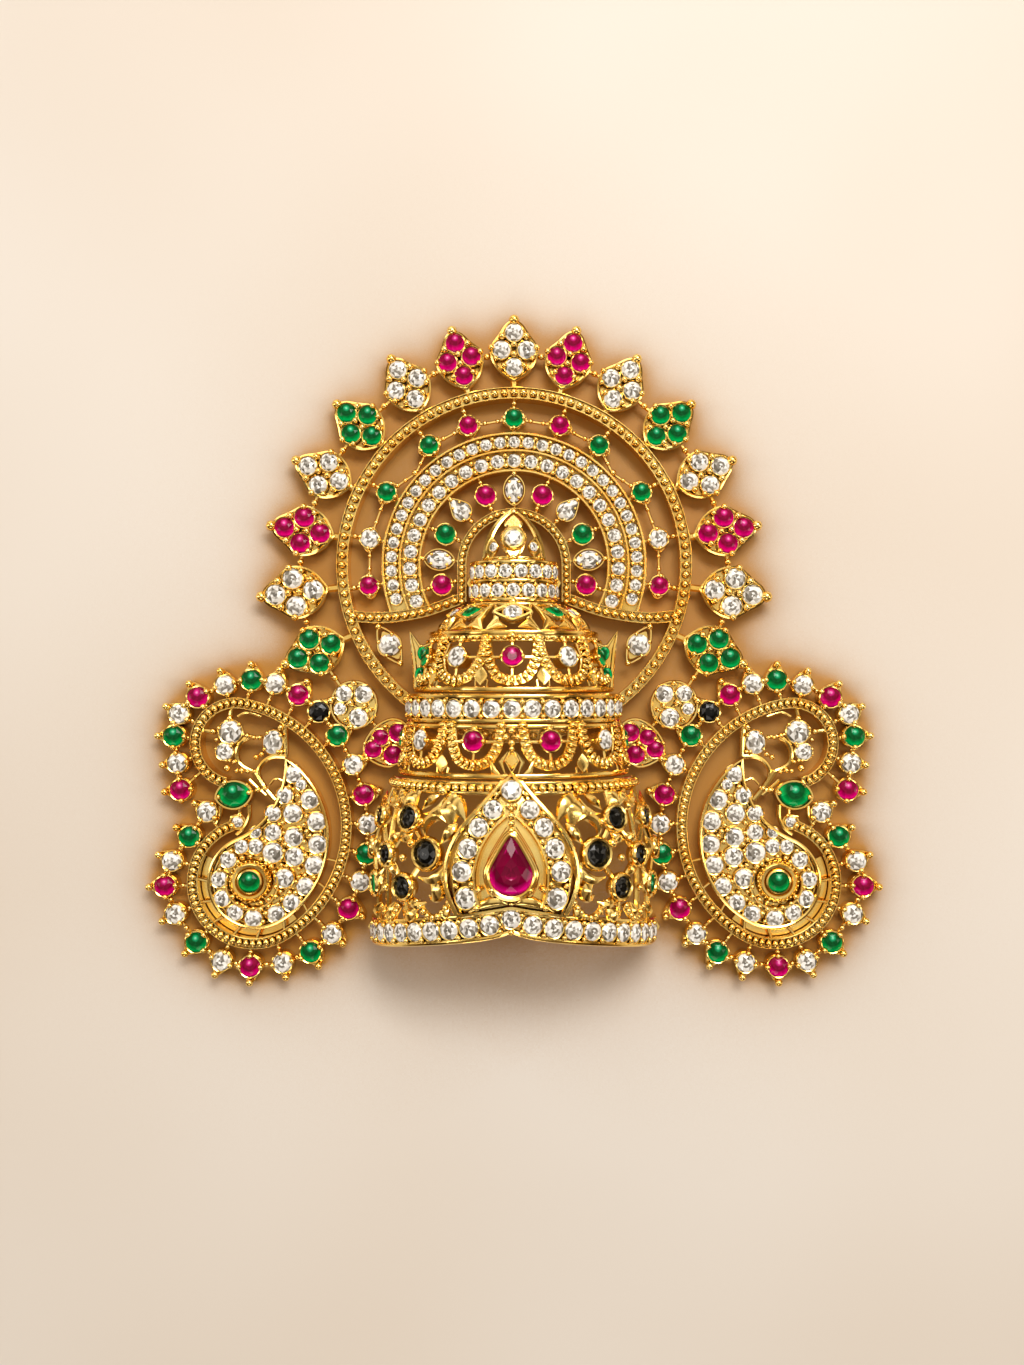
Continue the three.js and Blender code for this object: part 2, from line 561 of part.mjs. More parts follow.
// The leaf: a raised edge, a ring of stones inside it, and a deep bezel for the pear stone.
function frontLeaf() {
  const tier = tiers.baseGallery;
  const half = leafEdge(9);
  const path = [...half.slice(1).reverse().map((p) => new THREE.Vector2(-p.x, p.y)), ...half].map(onBase);
  const edge = skinBar(tier, path, centreLeaf.wire, -0.5, 2.3);
  const ring = centreLeaf.stones.flatMap(({ x, y }) => (x ? [x, -x] : [0]).map((u) =>
    domeStone(tier, onBase({ x: u, y })[0], y, centreLeaf.stoneRadius, 0.5, -0.5)));
  const upright = new THREE.Matrix4().makeRotationZ(Math.PI / 2);
  const place = domePlace(tier, 0, pear.y);
  const outer = dropOutline(pear.radius + pear.bezel, pear.tip + 2.6, 0, pear.radius + pear.bezel, 5);
  const inside = dropOutline(pear.radius + gap, pear.tip + 0.7, 0, pear.radius + gap, 5);
  const bezel = placed(slab(outer, -0.7, 1.6).applyMatrix4(upright), place);
  const seat = placed(slab(inside, 0.2, 2).applyMatrix4(upright), place);
  return [edge, ...ring, cut(bezel, [seat])];
}

const pearStone = () => solid(cutStone(dropOutline(pear.radius, pear.tip, 0, pear.radius, 5), 0.5, 1.6, 2.8));

const pearPlace = domePlace(tiers.baseGallery, 0, pear.y).multiply(new THREE.Matrix4().makeRotationZ(Math.PI / 2));

// The gallery round the base: dark stones among pierced openings, over a rail that follows the band's cusp.
function baseGallery() {
  const tier = tiers.baseGallery;
  const windows = [1, -1].flatMap((side) => baseWindows.map(({ angle, y, corners }) =>
    ({ angle: angle * side, y, corners: corners.map(([u, v]) => [u * side, v]) })));
  const below = tiers.baseBand.top + 2 * gap;
  const outline = [];
  for (let length = -30; length <= 30; length += 3) {
    const angle = degreesFor(tier, below, length, 0);
    outline.push(new THREE.Vector2(radiusAt(tier, below) * sine(THREE.MathUtils.clamp(angle, -90, 90)) * 1.02,
      below + cuspLift(angle)));
  }
  const foot = solid(slab([...outline, new THREE.Vector2(40, -60), new THREE.Vector2(-40, -60)], 0, 40));
  const stonesOn = [1, -1].flatMap((side) => darkStones.map(({ angle, y, radius }) =>
    domeStone(tier, angle * side, y, radius, 0.5, -0.8)));
  return join([cut(piercedTier(tier, windows, 14), [foot]), ...stonesOn, ...frontLeaf()]);
}

// ---- the wings, drawn for +X ----
// A point and heading along the frame's arcs, pushed outwards by an offset.
function wingPoint(distance, offset) {
  let { headX: x, headY: y, start: from } = wing;
  let left = distance;
  for (const [i, { radius, to }] of wingArcs.entries()) {
    const length = radians(to - from) * (radius + offset);
    if (left <= length || i === wingArcs.length - 1) {
      const angle = from + THREE.MathUtils.radToDeg(left / (radius + offset));
      return new THREE.Vector2(x + (radius + offset) * cosine(angle), y + (radius + offset) * sine(angle));
    }
    left -= length;
    const change = radius - wingArcs[i + 1].radius;
    x += change * cosine(to);
    y += change * sine(to);
    from = to;
  }
  return null;
}

function wingPath(offset, pitch) {
  let total = 0;
  let from = wing.start;
  wingArcs.forEach(({ radius, to }) => {
    total += radians(to - from) * (radius + offset);
    from = to;
  });
  const steps = Math.round(total / pitch);
  return Array.from({ length: steps + 1 }, (_, i) => wingPoint((total * i) / steps, offset));
}

function borderSeats() {
  const curve = new THREE.SplineCurve(borderRun.map(({ x, y }) => new THREE.Vector2(x, y)));
  return Array.from({ length: borderStones }, (_, i) => curve.getPoint(i / (borderStones - 1)));
}

function wingFrame() {
  const band = strip(wingPath(0, 3.6), wing.frameWidth, 0, flat.face);
  const pieces = [band, ...crest.map(({ x, y, radius }) => setStone(radius, x, y))];
  const crestWires = [
    [48.3, -13.9, 48.9, -17.3], [48.3, -13.9, 53.2, -13.9], [48.3, -13.9, 41.3, -15.2], [41.3, -15.2, 38.4, -11.2],
    [48.9, -17.3, 46.4, -20.2], [46.4, -20.2, 42.4, -23.6],
  ];
  crestWires.forEach(([ax, ay, bx, by]) => pieces.push(bar(ax, ay, bx, by, wire)));
  return join(pieces);
}

// The border is a scalloped ribbon, pointed outwards beside each of its stones.
function wingBorder() {
  const path = borderSeats();
  const r = wing.stoneRadius;
  const scallop = { outside: [[-0.95, 0.4], [0, 1.7], [0.95, 0.4]], inside: [[0.95, -0.4], [0, -1.1], [-0.95, -0.4]] };
  const outside = [];
  const inside = [];
  const pieces = path.map((p, i) => {
    const along = path[Math.min(i + 1, path.length - 1)].clone().sub(path[Math.max(i - 1, 0)]).normalize();
    const away = new THREE.Vector2(along.y, -along.x);
    const at = ([u, v]) => p.clone().addScaledVector(along, u * r).addScaledVector(away, v * r);
    outside.push(...scallop.outside.map(at));
    inside.unshift(...scallop.inside.map(at));
    const turn = THREE.MathUtils.radToDeg(Math.atan2(along.y, along.x));
    return solid(cutStone(roundOutline(r * 0.88, turn), 1, flat.collet, flat.table).translate(p.x, p.y, 0));
  });
  pieces.push(solid(slab([...outside, ...inside], 0, flat.collet)));
  return join(pieces);
}

function mangoOutline(inset) {
  const { cheek, back, hollow } = mango;
  const bearing = (a, b) => THREE.MathUtils.radToDeg(Math.atan2(b.y - a.y, b.x - a.x));
  const toHollow = bearing(cheek, hollow);
  const toBack = bearing(back, cheek) + 360;
  const cheekArc = arcPoints(cheek.x, cheek.y, cheek.radius - inset, toHollow, toBack - 360, 10);
  // The point is where the back's circle meets the hollow's.
  const reach = Math.hypot(hollow.x - back.x, hollow.y - back.y);
  const outer = back.radius - inset;
  const inner = hollow.radius + inset;
  const open = THREE.MathUtils.radToDeg(Math.acos((outer ** 2 + reach ** 2 - inner ** 2) / (2 * outer * reach)));
  const tipAngle = bearing(back, hollow) + open;
  const tip = { x: back.x + outer * cosine(tipAngle), y: back.y + outer * sine(tipAngle) };
  const backArc = arcPoints(back.x, back.y, outer, toBack, tipAngle, 10);
  const hollowArc = arcPoints(hollow.x, hollow.y, inner, bearing(hollow, tip), toHollow + 180, 5);
  return [...cheekArc, ...backArc.slice(1), ...hollowArc.slice(1, -1)];
}

// The mango plate is rimmed, with a ridged cup for the stone at its eye.
function wingMango() {
  const outline = mangoOutline(0);
  const plate = solid(slab(outline, 0, mango.face));
  const rim = solid(slab(outline, 0, mango.rim, [mangoOutline(mango.rimWidth)]));
  const eyeCup = solid(lathed([[0, 0], [eye.collet, 0], [eye.collet, 3.1], [eye.stoneRadius, 3.7],
    [eye.stoneRadius, 4.0], [eye.stoneRadius * tableShare, 4.5], [0, 4.5]], 12).translate(eye.x, eye.y, 0));
  return join([plate, rim, eyeCup]);
}

function wingMarquise() {
  const { x, y, halfLength, halfHeight } = marquise;
  const outline = dropOutline(halfHeight, halfLength, halfLength, halfHeight, 3);
  return solid(cutStone(outline, 0, flat.collet, flat.table).translate(x, y, 0));
}

// ---- assembly ----
const upperY = -0.9;
const lowerY = -14.1;

addMesh('halo_frame', haloFrame(), gold);
addMesh('pave_arch', paveChannel(), gold);
addMesh('outer_stone_string', outerString(), gold);
mirrorRow(innerRow).forEach((row, i) =>
  addMesh(`inner_stone_${i + 1}`, innerStone(row), stones[row.stone], haloPlace(inner.radius, row.angle)));
rayStations().forEach((row, i) => addMesh(`ray_${i + 1}`, haloRay(row), gold, rayPlace(row)));

addMesh('finial', finialDome(), gold);
addMesh('top_band', topBand(), gold);
addMesh('collar', collar(), gold);
addMesh('upper_gallery', gallery(tiers.upperGallery, [-72, -36, 0, 36, 72], upperY, (angle) => angle === 0), gold);
addMesh('middle_band', stoneBand(tiers.middleBand, 12), gold);
addMesh('lower_gallery', gallery(tiers.lowerGallery, [-87, -53, -19, 19, 53, 87], lowerY,
  (angle) => Math.abs(angle) < 20), gold);
addMesh('base_gallery', baseGallery(), gold);
addMesh('base_band', stoneBand(tiers.baseBand, 18, true, cuspLift), gold);
addMesh('front_pear_stone', pearStone(), stones.ruby, pearPlace);
addMesh('upper_ruby', galleryRuby(tiers.upperGallery, 0, upperY), stones.ruby);

[['right', new THREE.Matrix4()], ['left', mirror]].forEach(([side, turn]) => {
  addMesh(`lower_ruby_${side}`, galleryRuby(tiers.lowerGallery, 19, lowerY), stones.ruby, turn);
  addMesh(`leaf_stone_${side}`, leafStone(), stones.clear, turn.clone().multiply(leafPlace));
  addMesh(`wing_frame_${side}`, wingFrame(), gold, turn);
  addMesh(`wing_border_${side}`, wingBorder(), gold, turn);
  addMesh(`wing_mango_${side}`, wingMango(), gold, turn);
  addMesh(`wing_marquise_${side}`, wingMarquise(), stones.emerald, turn);
});

export default crown;
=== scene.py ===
import bmesh
import bpy
import math
import random
from collections import defaultdict
from mathutils import Matrix, Vector


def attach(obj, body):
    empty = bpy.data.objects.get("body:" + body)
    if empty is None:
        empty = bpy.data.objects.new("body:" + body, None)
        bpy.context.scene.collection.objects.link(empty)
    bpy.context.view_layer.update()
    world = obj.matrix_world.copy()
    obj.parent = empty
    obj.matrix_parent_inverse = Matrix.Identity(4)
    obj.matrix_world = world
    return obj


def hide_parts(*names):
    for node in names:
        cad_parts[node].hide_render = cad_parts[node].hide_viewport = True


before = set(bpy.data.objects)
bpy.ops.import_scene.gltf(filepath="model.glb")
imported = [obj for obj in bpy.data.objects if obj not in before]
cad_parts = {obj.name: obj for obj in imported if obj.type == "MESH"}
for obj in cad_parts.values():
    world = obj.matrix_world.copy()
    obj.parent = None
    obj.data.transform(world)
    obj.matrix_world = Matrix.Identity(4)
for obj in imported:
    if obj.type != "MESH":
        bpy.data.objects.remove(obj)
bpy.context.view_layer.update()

# Lengths are in millimetres while a piece is made, and go to metres when it is finished.
toMetres = 0.001
flatUp = Vector((0, 0, 1))
roll = random.Random(11)


def sine(degrees):
    return math.sin(math.radians(degrees))


def cosine(degrees):
    return math.cos(math.radians(degrees))


# The camera stands almost straight over the crown.
view = {"place": (4.7, -4.9, 221), "lens": 34.29, "sensor": 36, "shift": -0.0221}
cameraData = bpy.data.cameras.new("crown_camera")
cameraData.lens = view["lens"]
cameraData.sensor_width = view["sensor"]
cameraData.shift_x = view["shift"]
camera = bpy.data.objects.new("crown_camera", cameraData)
camera.location = Vector(view["place"]) * toMetres
bpy.context.collection.objects.link(camera)
bpy.context.scene.camera = camera

# Each softbox has its place, size, power and colour, and faces the crown's middle.
softboxes = {
    "top_softbox": ((0.10, 0.26, 0.44), (0.26, 0.15), 2.1, (1.0, 0.97, 0.93)),
    "left_strip": ((-0.42, 0.02, 0.24), (0.09, 0.40), 0.5, (1.0, 0.95, 0.88)),
    "right_strip": ((0.40, -0.06, 0.26), (0.07, 0.36), 0.4, (1.0, 0.95, 0.88)),
    "front_softbox": ((-0.05, -0.40, 0.32), (0.30, 0.08), 0.36, (1.0, 0.94, 0.86)),
    "back_strip": ((-0.16, 0.46, 0.17), (0.5, 0.12), 0.45, (1.0, 0.97, 0.92)),
    "overhead_softbox": ((0, 0.1, 0.9), (0.8, 0.8), 1.1, (1.0, 0.97, 0.93)),
}
for name, (place, size, power, colour) in softboxes.items():
    lampData = bpy.data.lights.new(name, "AREA")
    lampData.shape = "RECTANGLE"
    lampData.size, lampData.size_y = size
    lampData.energy = power
    lampData.color = colour
    lamp = bpy.data.objects.new(name, lampData)
    lamp.location = place
    lamp.rotation_mode = "QUATERNION"
    lamp.rotation_quaternion = (-Vector(place)).to_track_quat("-Z", "Y")
    bpy.context.collection.objects.link(lamp)
bpy.context.scene.view_settings.view_transform = "Standard"


# A socket takes the output of another node or a plain value.
def feed(tree, target, inputs):
    for key, value in inputs.items():
        if isinstance(value, bpy.types.NodeSocket):
            tree.links.new(value, target.inputs[key])
        else:
            target.inputs[key].default_value = value


def addNode(tree, kind, inputs):
    made = tree.nodes.new("ShaderNode" + kind)
    feed(tree, made, inputs)
    return made


def newMaterial(name):
    material = bpy.data.materials.new(name)
    material.use_nodes = True
    return material, material.node_tree, material.node_tree.nodes["Principled BSDF"]


def ramp(tree, value, stops):
    made = addNode(tree, "ValToRGB", {"Fac": value})
    elements = made.color_ramp.elements
    while len(elements) < len(stops):
        elements.new(0.5)
    for element, (place, colour) in zip(elements, stops):
        element.position = place
        element.color = (*colour, 1)
    return made.outputs["Color"]


def noise(tree, scale, detail=3):
    made = addNode(tree, "TexNoise", {"Scale": scale, "Detail": detail})
    tree.links.new(addNode(tree, "TexCoord", {}).outputs["Object"], made.inputs["Vector"])
    return made.outputs["Fac"]


def mix(tree, first, second, share, way="MIX"):
    made = tree.nodes.new("ShaderNodeMix")
    made.data_type = "RGBA"
    made.blend_type = way
    feed(tree, made, {"A": first, "B": second, "Factor": share})
    return made.outputs["Result"]


def nearness(tree, reach, samples):
    made = addNode(tree, "AmbientOcclusion", {"Distance": reach})
    made.samples = samples
    return made.outputs["AO"]


# The gold's tone varies in patches at random; the dark brown in its recesses is painted shade.
goldLook = {
    "tones": [(0.3, (0.98, 0.58, 0.105)), (0.62, (1.0, 0.74, 0.245))], "recessShadeColour": (0.16, 0.055, 0.006, 1),
    "recessShade": [(0.03, (1, 1, 1)), (0.48, (0, 0, 0))], "reach": 0.0013, "samples": 6,
    "patchScale": 160, "grainScale": 2600, "grainHeight": 0.00003, "grainStrength": 0.25,
    "roughness": (0.11, 0.25),
}


def makeGold(name):
    material, tree, shader = newMaterial(name)
    tone = ramp(tree, noise(tree, goldLook["patchScale"]), goldLook["tones"])
    # painted shade: ambient occlusion darkens the recesses toward a dark brown
    recessShade = ramp(tree, nearness(tree, goldLook["reach"], goldLook["samples"]), goldLook["recessShade"])
    grain = noise(tree, goldLook["grainScale"], 4)
    low, high = goldLook["roughness"]
    gloss = addNode(tree, "MapRange", {"Value": grain, "To Min": low, "To Max": high})
    height = {"Strength": goldLook["grainStrength"], "Distance": goldLook["grainHeight"], "Height": grain}
    feed(tree, shader, {
        "Base Color": mix(tree, tone, goldLook["recessShadeColour"], recessShade), "Metallic": 1,
        "Roughness": gloss.outputs["Result"], "Normal": addNode(tree, "Bump", height).outputs["Normal"],
    })
    return material


def makeStone(name, look):
    material, tree, shader = newMaterial(name)
    # Each facet's painted reflection value, turned into colour by a ramp.
    paintedFacetLight = tree.nodes.new("ShaderNodeAttribute")
    paintedFacetLight.attribute_name = "paintedFacetLight"
    colour = ramp(tree, paintedFacetLight.outputs["Fac"], look.get("cut", softFacetLight))
    # the painted highlight and painted crescent of light, set by the distance from a point high in the
    # stone's face
    if "paintedLight" in look:
        spread = tree.nodes.new("ShaderNodeUVMap")
        spread.uv_map = "stoneFace"
        away = tree.nodes.new("ShaderNodeVectorMath")
        away.operation = "DISTANCE"
        feed(tree, away, {0: spread.outputs["UV"], 1: paintedLightMiddle})
        colour = mix(tree, colour, ramp(tree, away.outputs["Value"], look["paintedLight"]), 1, "MULTIPLY")
    # The emission is a painted glow: the stone gives out its own colour though it is no lamp.
    feed(tree, shader, {
        "Base Color": colour, "Emission Color": colour, "Emission Strength": look["inner"],
        "Roughness": look["roughness"], "IOR": look["ior"], "Specular IOR Level": look["shine"],
    })
    return material


# Painted light on a coloured stone: a painted highlight high in its face, a painted bright crescent low in
# it, and deep colour in the middle.
paintedLightMiddle = (0.5, 0.72, 0)
# A coloured stone's facets are painted a little lighter or darker at random, as painted reflections.
softFacetLight = [(0.0, (0.62, 0.62, 0.62)), (1.0, (1.0, 1.0, 1.0))]
# Each look's "inner" value is the strength of that painted glow.
stoneLooks = {
    # A "cut" ramp turns a facet's painted reflection value into colour: the white stones' dark and bright
    # facets are painted reflections, and the dark stones' one pale stop is a painted glint.
    "white": {
        "cut": [(0.0, (0.045, 0.038, 0.028)), (0.3, (0.18, 0.16, 0.13)), (0.55, (0.41, 0.385, 0.34)),
                (0.88, (0.81, 0.795, 0.76))],
        "inner": 0.1, "roughness": 0.06, "ior": 1.7, "shine": 0.5,
    },
    "ruby": {
        "paintedLight": [(0.0, (0.95, 0.35, 0.60)), (0.08, (0.62, 0.02, 0.22)), (0.18, (0.23, 0.0, 0.034)),
                 (0.36, (0.17, 0.0, 0.024)), (0.5, (0.52, 0.0, 0.12)), (0.6, (0.68, 0.003, 0.19)),
                 (0.7, (0.12, 0.0, 0.018))],
        "inner": 0.2, "roughness": 0.05, "ior": 1.3, "shine": 0.3,
    },
    "crimson": {
        "paintedLight": [(0.0, (0.80, 0.25, 0.42)), (0.06, (0.40, 0.0, 0.08)), (0.14, (0.16, 0.0, 0.024)),
                 (0.4, (0.12, 0.0, 0.018)), (0.5, (0.40, 0.0, 0.10)), (0.6, (0.74, 0.004, 0.24)),
                 (0.66, (0.30, 0.0, 0.06)), (0.72, (0.07, 0.0, 0.01))],
        "inner": 0.16, "roughness": 0.04, "ior": 1.3, "shine": 0.35,
    },
    "emerald": {
        "paintedLight": [(0.0, (0.30, 0.75, 0.52)), (0.08, (0.01, 0.36, 0.14)), (0.18, (0.0, 0.085, 0.016)),
                 (0.36, (0.0, 0.065, 0.012)), (0.5, (0.0, 0.24, 0.045)), (0.6, (0.0, 0.40, 0.09)),
                 (0.7, (0.0, 0.04, 0.008))],
        "inner": 0.18, "roughness": 0.05, "ior": 1.3, "shine": 0.3,
    },
    "dark": {
        "cut": [(0.0, (0.001, 0.001, 0.001)), (0.8, (0.004, 0.004, 0.003)), (1.0, (0.06, 0.058, 0.054))],
        "inner": 0.0, "roughness": 0.05, "ior": 1.38, "shine": 0.28,
    },
}
gold = makeGold("cast_gold")
stoneMaterials = {name: makeStone(name + "_stone", look) for name, look in stoneLooks.items()}
print("materials made")


def keepShape(bm, name, smooth=True):
    for face in bm.faces:
        face.smooth = smooth
    mesh = bpy.data.meshes.new(name)
    bm.to_mesh(mesh)
    bm.free()
    return mesh


def stamp(bm, shape, place):
    copy = shape.copy()
    copy.transform(place)
    if place.determinant() < 0:
        copy.flip_normals()
    bm.from_mesh(copy)
    bpy.data.meshes.remove(copy)


# Closes a part that was shaped on its own and sets it on the bench.
def pour(bm, part, place=None):
    bmesh.ops.recalc_face_normals(part, faces=part.faces)
    shape = keepShape(part, "part")
    stamp(bm, shape, Matrix() if place is None else place)
    bpy.data.meshes.remove(shape)


def onlyVerts(geometry):
    return [v for v in geometry if isinstance(v, bmesh.types.BMVert)]


def at(point, size=1.0, turn=0.0):
    return Matrix.Translation(point) @ Matrix.Rotation(math.radians(turn), 4, "Z") @ Matrix.Scale(size, 4)


# A path is a list of points, each with the way that is up there.
def stations(path, closed=False, sizes=None):
    last = len(path) - 1
    places = []
    for i, (point, up) in enumerate(path):
        after = path[(i + 1) % len(path)][0] if closed or i < last else point
        before = path[i - 1][0] if closed or i > 0 else point
        along = (after - before).normalized()
        across = along.cross(up)
        if across.length < 0.01:  # a run straight up
            across = along.cross(Vector((0, 1, 0)))
        across.normalize()
        place = Matrix((across, along, across.cross(along))).transposed().to_4x4()
        place.translation = point
        places.append(place @ Matrix.Scale(sizes[i], 4) if sizes else place)
    return places


def sweep(bm, profile, path, closed=False, sizes=None):
    places = stations(path, closed, sizes)
    strand = bmesh.new()
    ring = [strand.verts.new(places[0] @ Vector((across, 0, up))) for across, up in profile]
    edges = [strand.edges.new((ring[i - 1], ring[i])) for i in range(len(ring))]
    if not closed:
        strand.faces.new(ring)
    newest = ring
    for before, after in zip(places, places[1:] + (places[:1] if closed else [])):
        made = bmesh.ops.extrude_edge_only(strand, edges=edges)["geom"]
        newest = onlyVerts(made)
        edges = [e for e in made if isinstance(e, bmesh.types.BMEdge) and e.is_boundary]
        bmesh.ops.transform(strand, matrix=after @ before.inverted(), verts=newest)
    if closed:
        bmesh.ops.remove_doubles(strand, verts=ring + newest, dist=1e-4)
    else:
        bmesh.ops.contextual_create(strand, geom=edges)
    pour(bm, strand)


def roundOutline(sides=16, radius=1.0):
    turns = [360 * i / sides for i in range(sides)]
    return [(radius * cosine(t), radius * sine(t)) for t in turns]


def almondOutline(reach=1.4, width=0.98, sides=16):
    return [(reach * x, width * math.copysign(abs(y) ** 1.3, y)) for x, y in roundOutline(sides)]


# A drop with its point along +x, from its round end's radius of 1 to the given reach.
def dropOutline(reach, tail=0.0, sides=16):
    outline = []
    for x, y in roundOutline(sides):
        front, back = max(0.0, x), max(0.0, -x) if tail else 0.0
        narrow = 1 - 0.35 * (front ** 2 + back ** 2)
        outline.append((x + front ** 3 * (reach - 1) - back ** 3 * (tail - 1),
                        y * narrow if abs(x) > 0.01 else y))
    return outline


def arc(x, y, radius, start, end, steps):
    turns = [start + (end - start) * i / steps for i in range(steps + 1)]
    return [(x + radius * cosine(t), y + radius * sine(t)) for t in turns]


# A strip's section: straight sides and, where it has a cut, sloping shoulders.
def strip(half, low, high, cut=(), shift=0.0):
    if not cut:
        return [(-half, low), (-half, high), (half, high), (half, low)]
    inward, down = cut
    corners = [(half - inward, high), (half, high - down), (half, low)]
    return [(shift - x, z) for x, z in reversed(corners)] + [(shift + x, z) for x, z in corners]


# A cast band's section: two raised rims with a bed between them.
def bandProfile(width, low, high, rim, depth):
    half, soft = width / 2, rim * 0.3
    corners = [(half - rim, high - depth), (half - rim + soft, high), (half - soft, high),
               (half, high - soft), (half, low)]
    return [(-x, z) for x, z in reversed(corners)] + corners


def wire(bm, path, radius, sides=6, closed=False, taper=1.0):
    last = len(path) - 1
    sizes = [1 + (taper - 1) * i / last for i in range(last + 1)]
    sweep(bm, roundOutline(sides, radius), path, closed, sizes)


def smoothRun(points, steps=4, closed=False):
    spots = [Vector(p) for p in points]
    if closed:
        spots = [spots[-1], *spots, spots[0], spots[1]]
    else:
        spots = [2 * spots[0] - spots[1], *spots, 2 * spots[-1] - spots[-2]]
    run = []
    for a, b, c, d in zip(spots, spots[1:], spots[2:], spots[3:]):
        for t in [k / steps for k in range(steps)]:
            bend = (2 * a - 5 * b + 4 * c - d) * t * t + (3 * b - a - 3 * c + d) * t ** 3
            run.append(0.5 * (2 * b + (c - a) * t + bend))
    if not closed:
        run.append(spots[-2])
    return run


def sided(side, points):
    return [(side * x, y) for x, y in points]


def flatPath(points, z=0.0):
    return [(Vector((x, y, z)), flatUp) for x, y in points]


# An outline laid in the plane of a stone, drawn out a little each way.
def rimPath(place, outline, along=1.0, across=1.0, z=0.0):
    up = place.col[2].to_3d().normalized()
    return [(place @ Vector((x * along, y * across, z)), up) for x, y in outline]


def evenly(path, pitch):
    lengths = [(b[0] - a[0]).length for a, b in zip(path, path[1:])]
    count = max(1, round(sum(lengths) / pitch))
    step = sum(lengths) / count
    spots, i, passed = [], 0, 0.0
    for k in range(count + 1):
        goal = min(k * step, sum(lengths) - 1e-6)
        while passed + lengths[i] < goal:
            passed += lengths[i]
            i += 1
        share = (goal - passed) / lengths[i]
        spots.append((path[i][0].lerp(path[i + 1][0], share), path[i][1].lerp(path[i + 1][1], share)))
    return spots


def ball(bm, point, radius):
    stamp(bm, beadShape, at(point, radius))


def beadRun(bm, path, radius, pitch, lift=0.0, wide=1.0):
    bead = Matrix.Translation((0, 0, lift)) @ Matrix.Diagonal((radius * wide, radius, radius, 1))
    for place in stations(evenly(path, pitch)):
        stamp(bm, beadShape, place @ bead)


# A round post between two points, with a ball part of the way along it.
def post(bm, start, end, radius=0.42, knob=0.0, share=0.5):
    wire(bm, [(Vector(start), flatUp), (Vector(end), flatUp)], radius)
    if knob:
        ball(bm, Vector(start).lerp(Vector(end), share), knob)


# A curved leaf that narrows to both its ends, with a ridge along the middle.
def blade(bm, path, width, height=0.45):
    last = len(path) - 1
    sizes = [max(0.12, sine(180 * (i / last) ** 0.85)) for i in range(last + 1)]
    half = [(-width, 0), (-width * 0.7, height * 0.75)]
    sweep(bm, [*half, (0, height), *[(-x, z) for x, z in reversed(half)], (0, -height)], path, sizes=sizes)


def plate(bm, outline, low, high, bevel=0.15, place=None):
    slab = bmesh.new()
    face = slab.faces.new([slab.verts.new((x, y, low)) for x, y in outline])
    raised = bmesh.ops.extrude_face_region(slab, geom=[face])["geom"]
    bmesh.ops.translate(slab, vec=(0, 0, high - low), verts=onlyVerts(raised))
    if bevel:
        top = [e for e in raised if isinstance(e, bmesh.types.BMEdge)]
        bmesh.ops.bevel(slab, geom=top, offset=bevel, offset_type="OFFSET", affect="EDGES", segments=1,
                        profile=0.5, material=-1)
    pour(bm, slab, place)


def lathe(bm, profile, sides, place):
    turned = bmesh.new()
    verts = [turned.verts.new((r, 0, z)) for r, z in profile]
    edges = [turned.edges.new((verts[i - 1], verts[i])) for i in range(len(verts))]
    spinning = {"cent": (0, 0, 0), "axis": (0, 0, 1), "angle": math.tau, "steps": sides, "use_merge": True}
    bmesh.ops.spin(turned, geom=verts + edges, **spinning)
    bmesh.ops.remove_doubles(turned, verts=turned.verts, dist=1e-4)
    pour(bm, turned, place)


benches = defaultdict(bmesh.new)


# Turns a bench's work into a finished piece, or into a right one and its mirror image.
def makePieces(name, material, nodes, pair, crease=0):
    for side in ("_right", "_left") if pair else ("",):
        mesh = bpy.data.meshes.new(name + side)
        benches[name].to_mesh(mesh)
        mesh.transform(Matrix.Scale(toMetres, 4))
        if side == "_left":
            mesh.transform(Matrix.Scale(-1, 4, (1, 0, 0)))
            mesh.flip_normals()
        if crease:
            mesh.set_sharp_from_angle(angle=math.radians(crease))
        mesh.materials.append(material)
        piece = bpy.data.objects.new(name + side, mesh)
        bpy.context.collection.objects.link(piece)
        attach(piece, "root")
        if nodes:
            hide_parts(*[node + side for node in nodes])
    benches.pop(name).free()


def finishGold(name, *nodes, pair=False):
    makePieces(name, gold, nodes, pair, crease=38)


def finishStones(name, *nodes, pair=False):
    for kind, material in stoneMaterials.items():
        if name + "_" + kind in benches:
            makePieces(name + "_" + kind, material, nodes, pair)


def makeBead():
    bm = bmesh.new()
    bmesh.ops.create_uvsphere(bm, u_segments=8, v_segments=6, radius=1)
    return keepShape(bm, "bead")


# A brilliant cut: a straight girdle, crown facets up to a table, and a star in the table painted with dark
# and bright reflections; every facet carries a random painted reflection value.
cutLook = {"girdle": 0.14, "star": (0.80, 0.19), "table": (0.47, 0.31), "heart": 0.235, "culet": 0.5}
facetLightRanges = {
    "heart": [(0.02, 0.25), (0.45, 1.0)], "table": [(0.2, 0.5), (0.6, 1.0)],
    "crown": [(0.1, 0.45), (0.5, 0.9), (0.75, 1.0)],
}


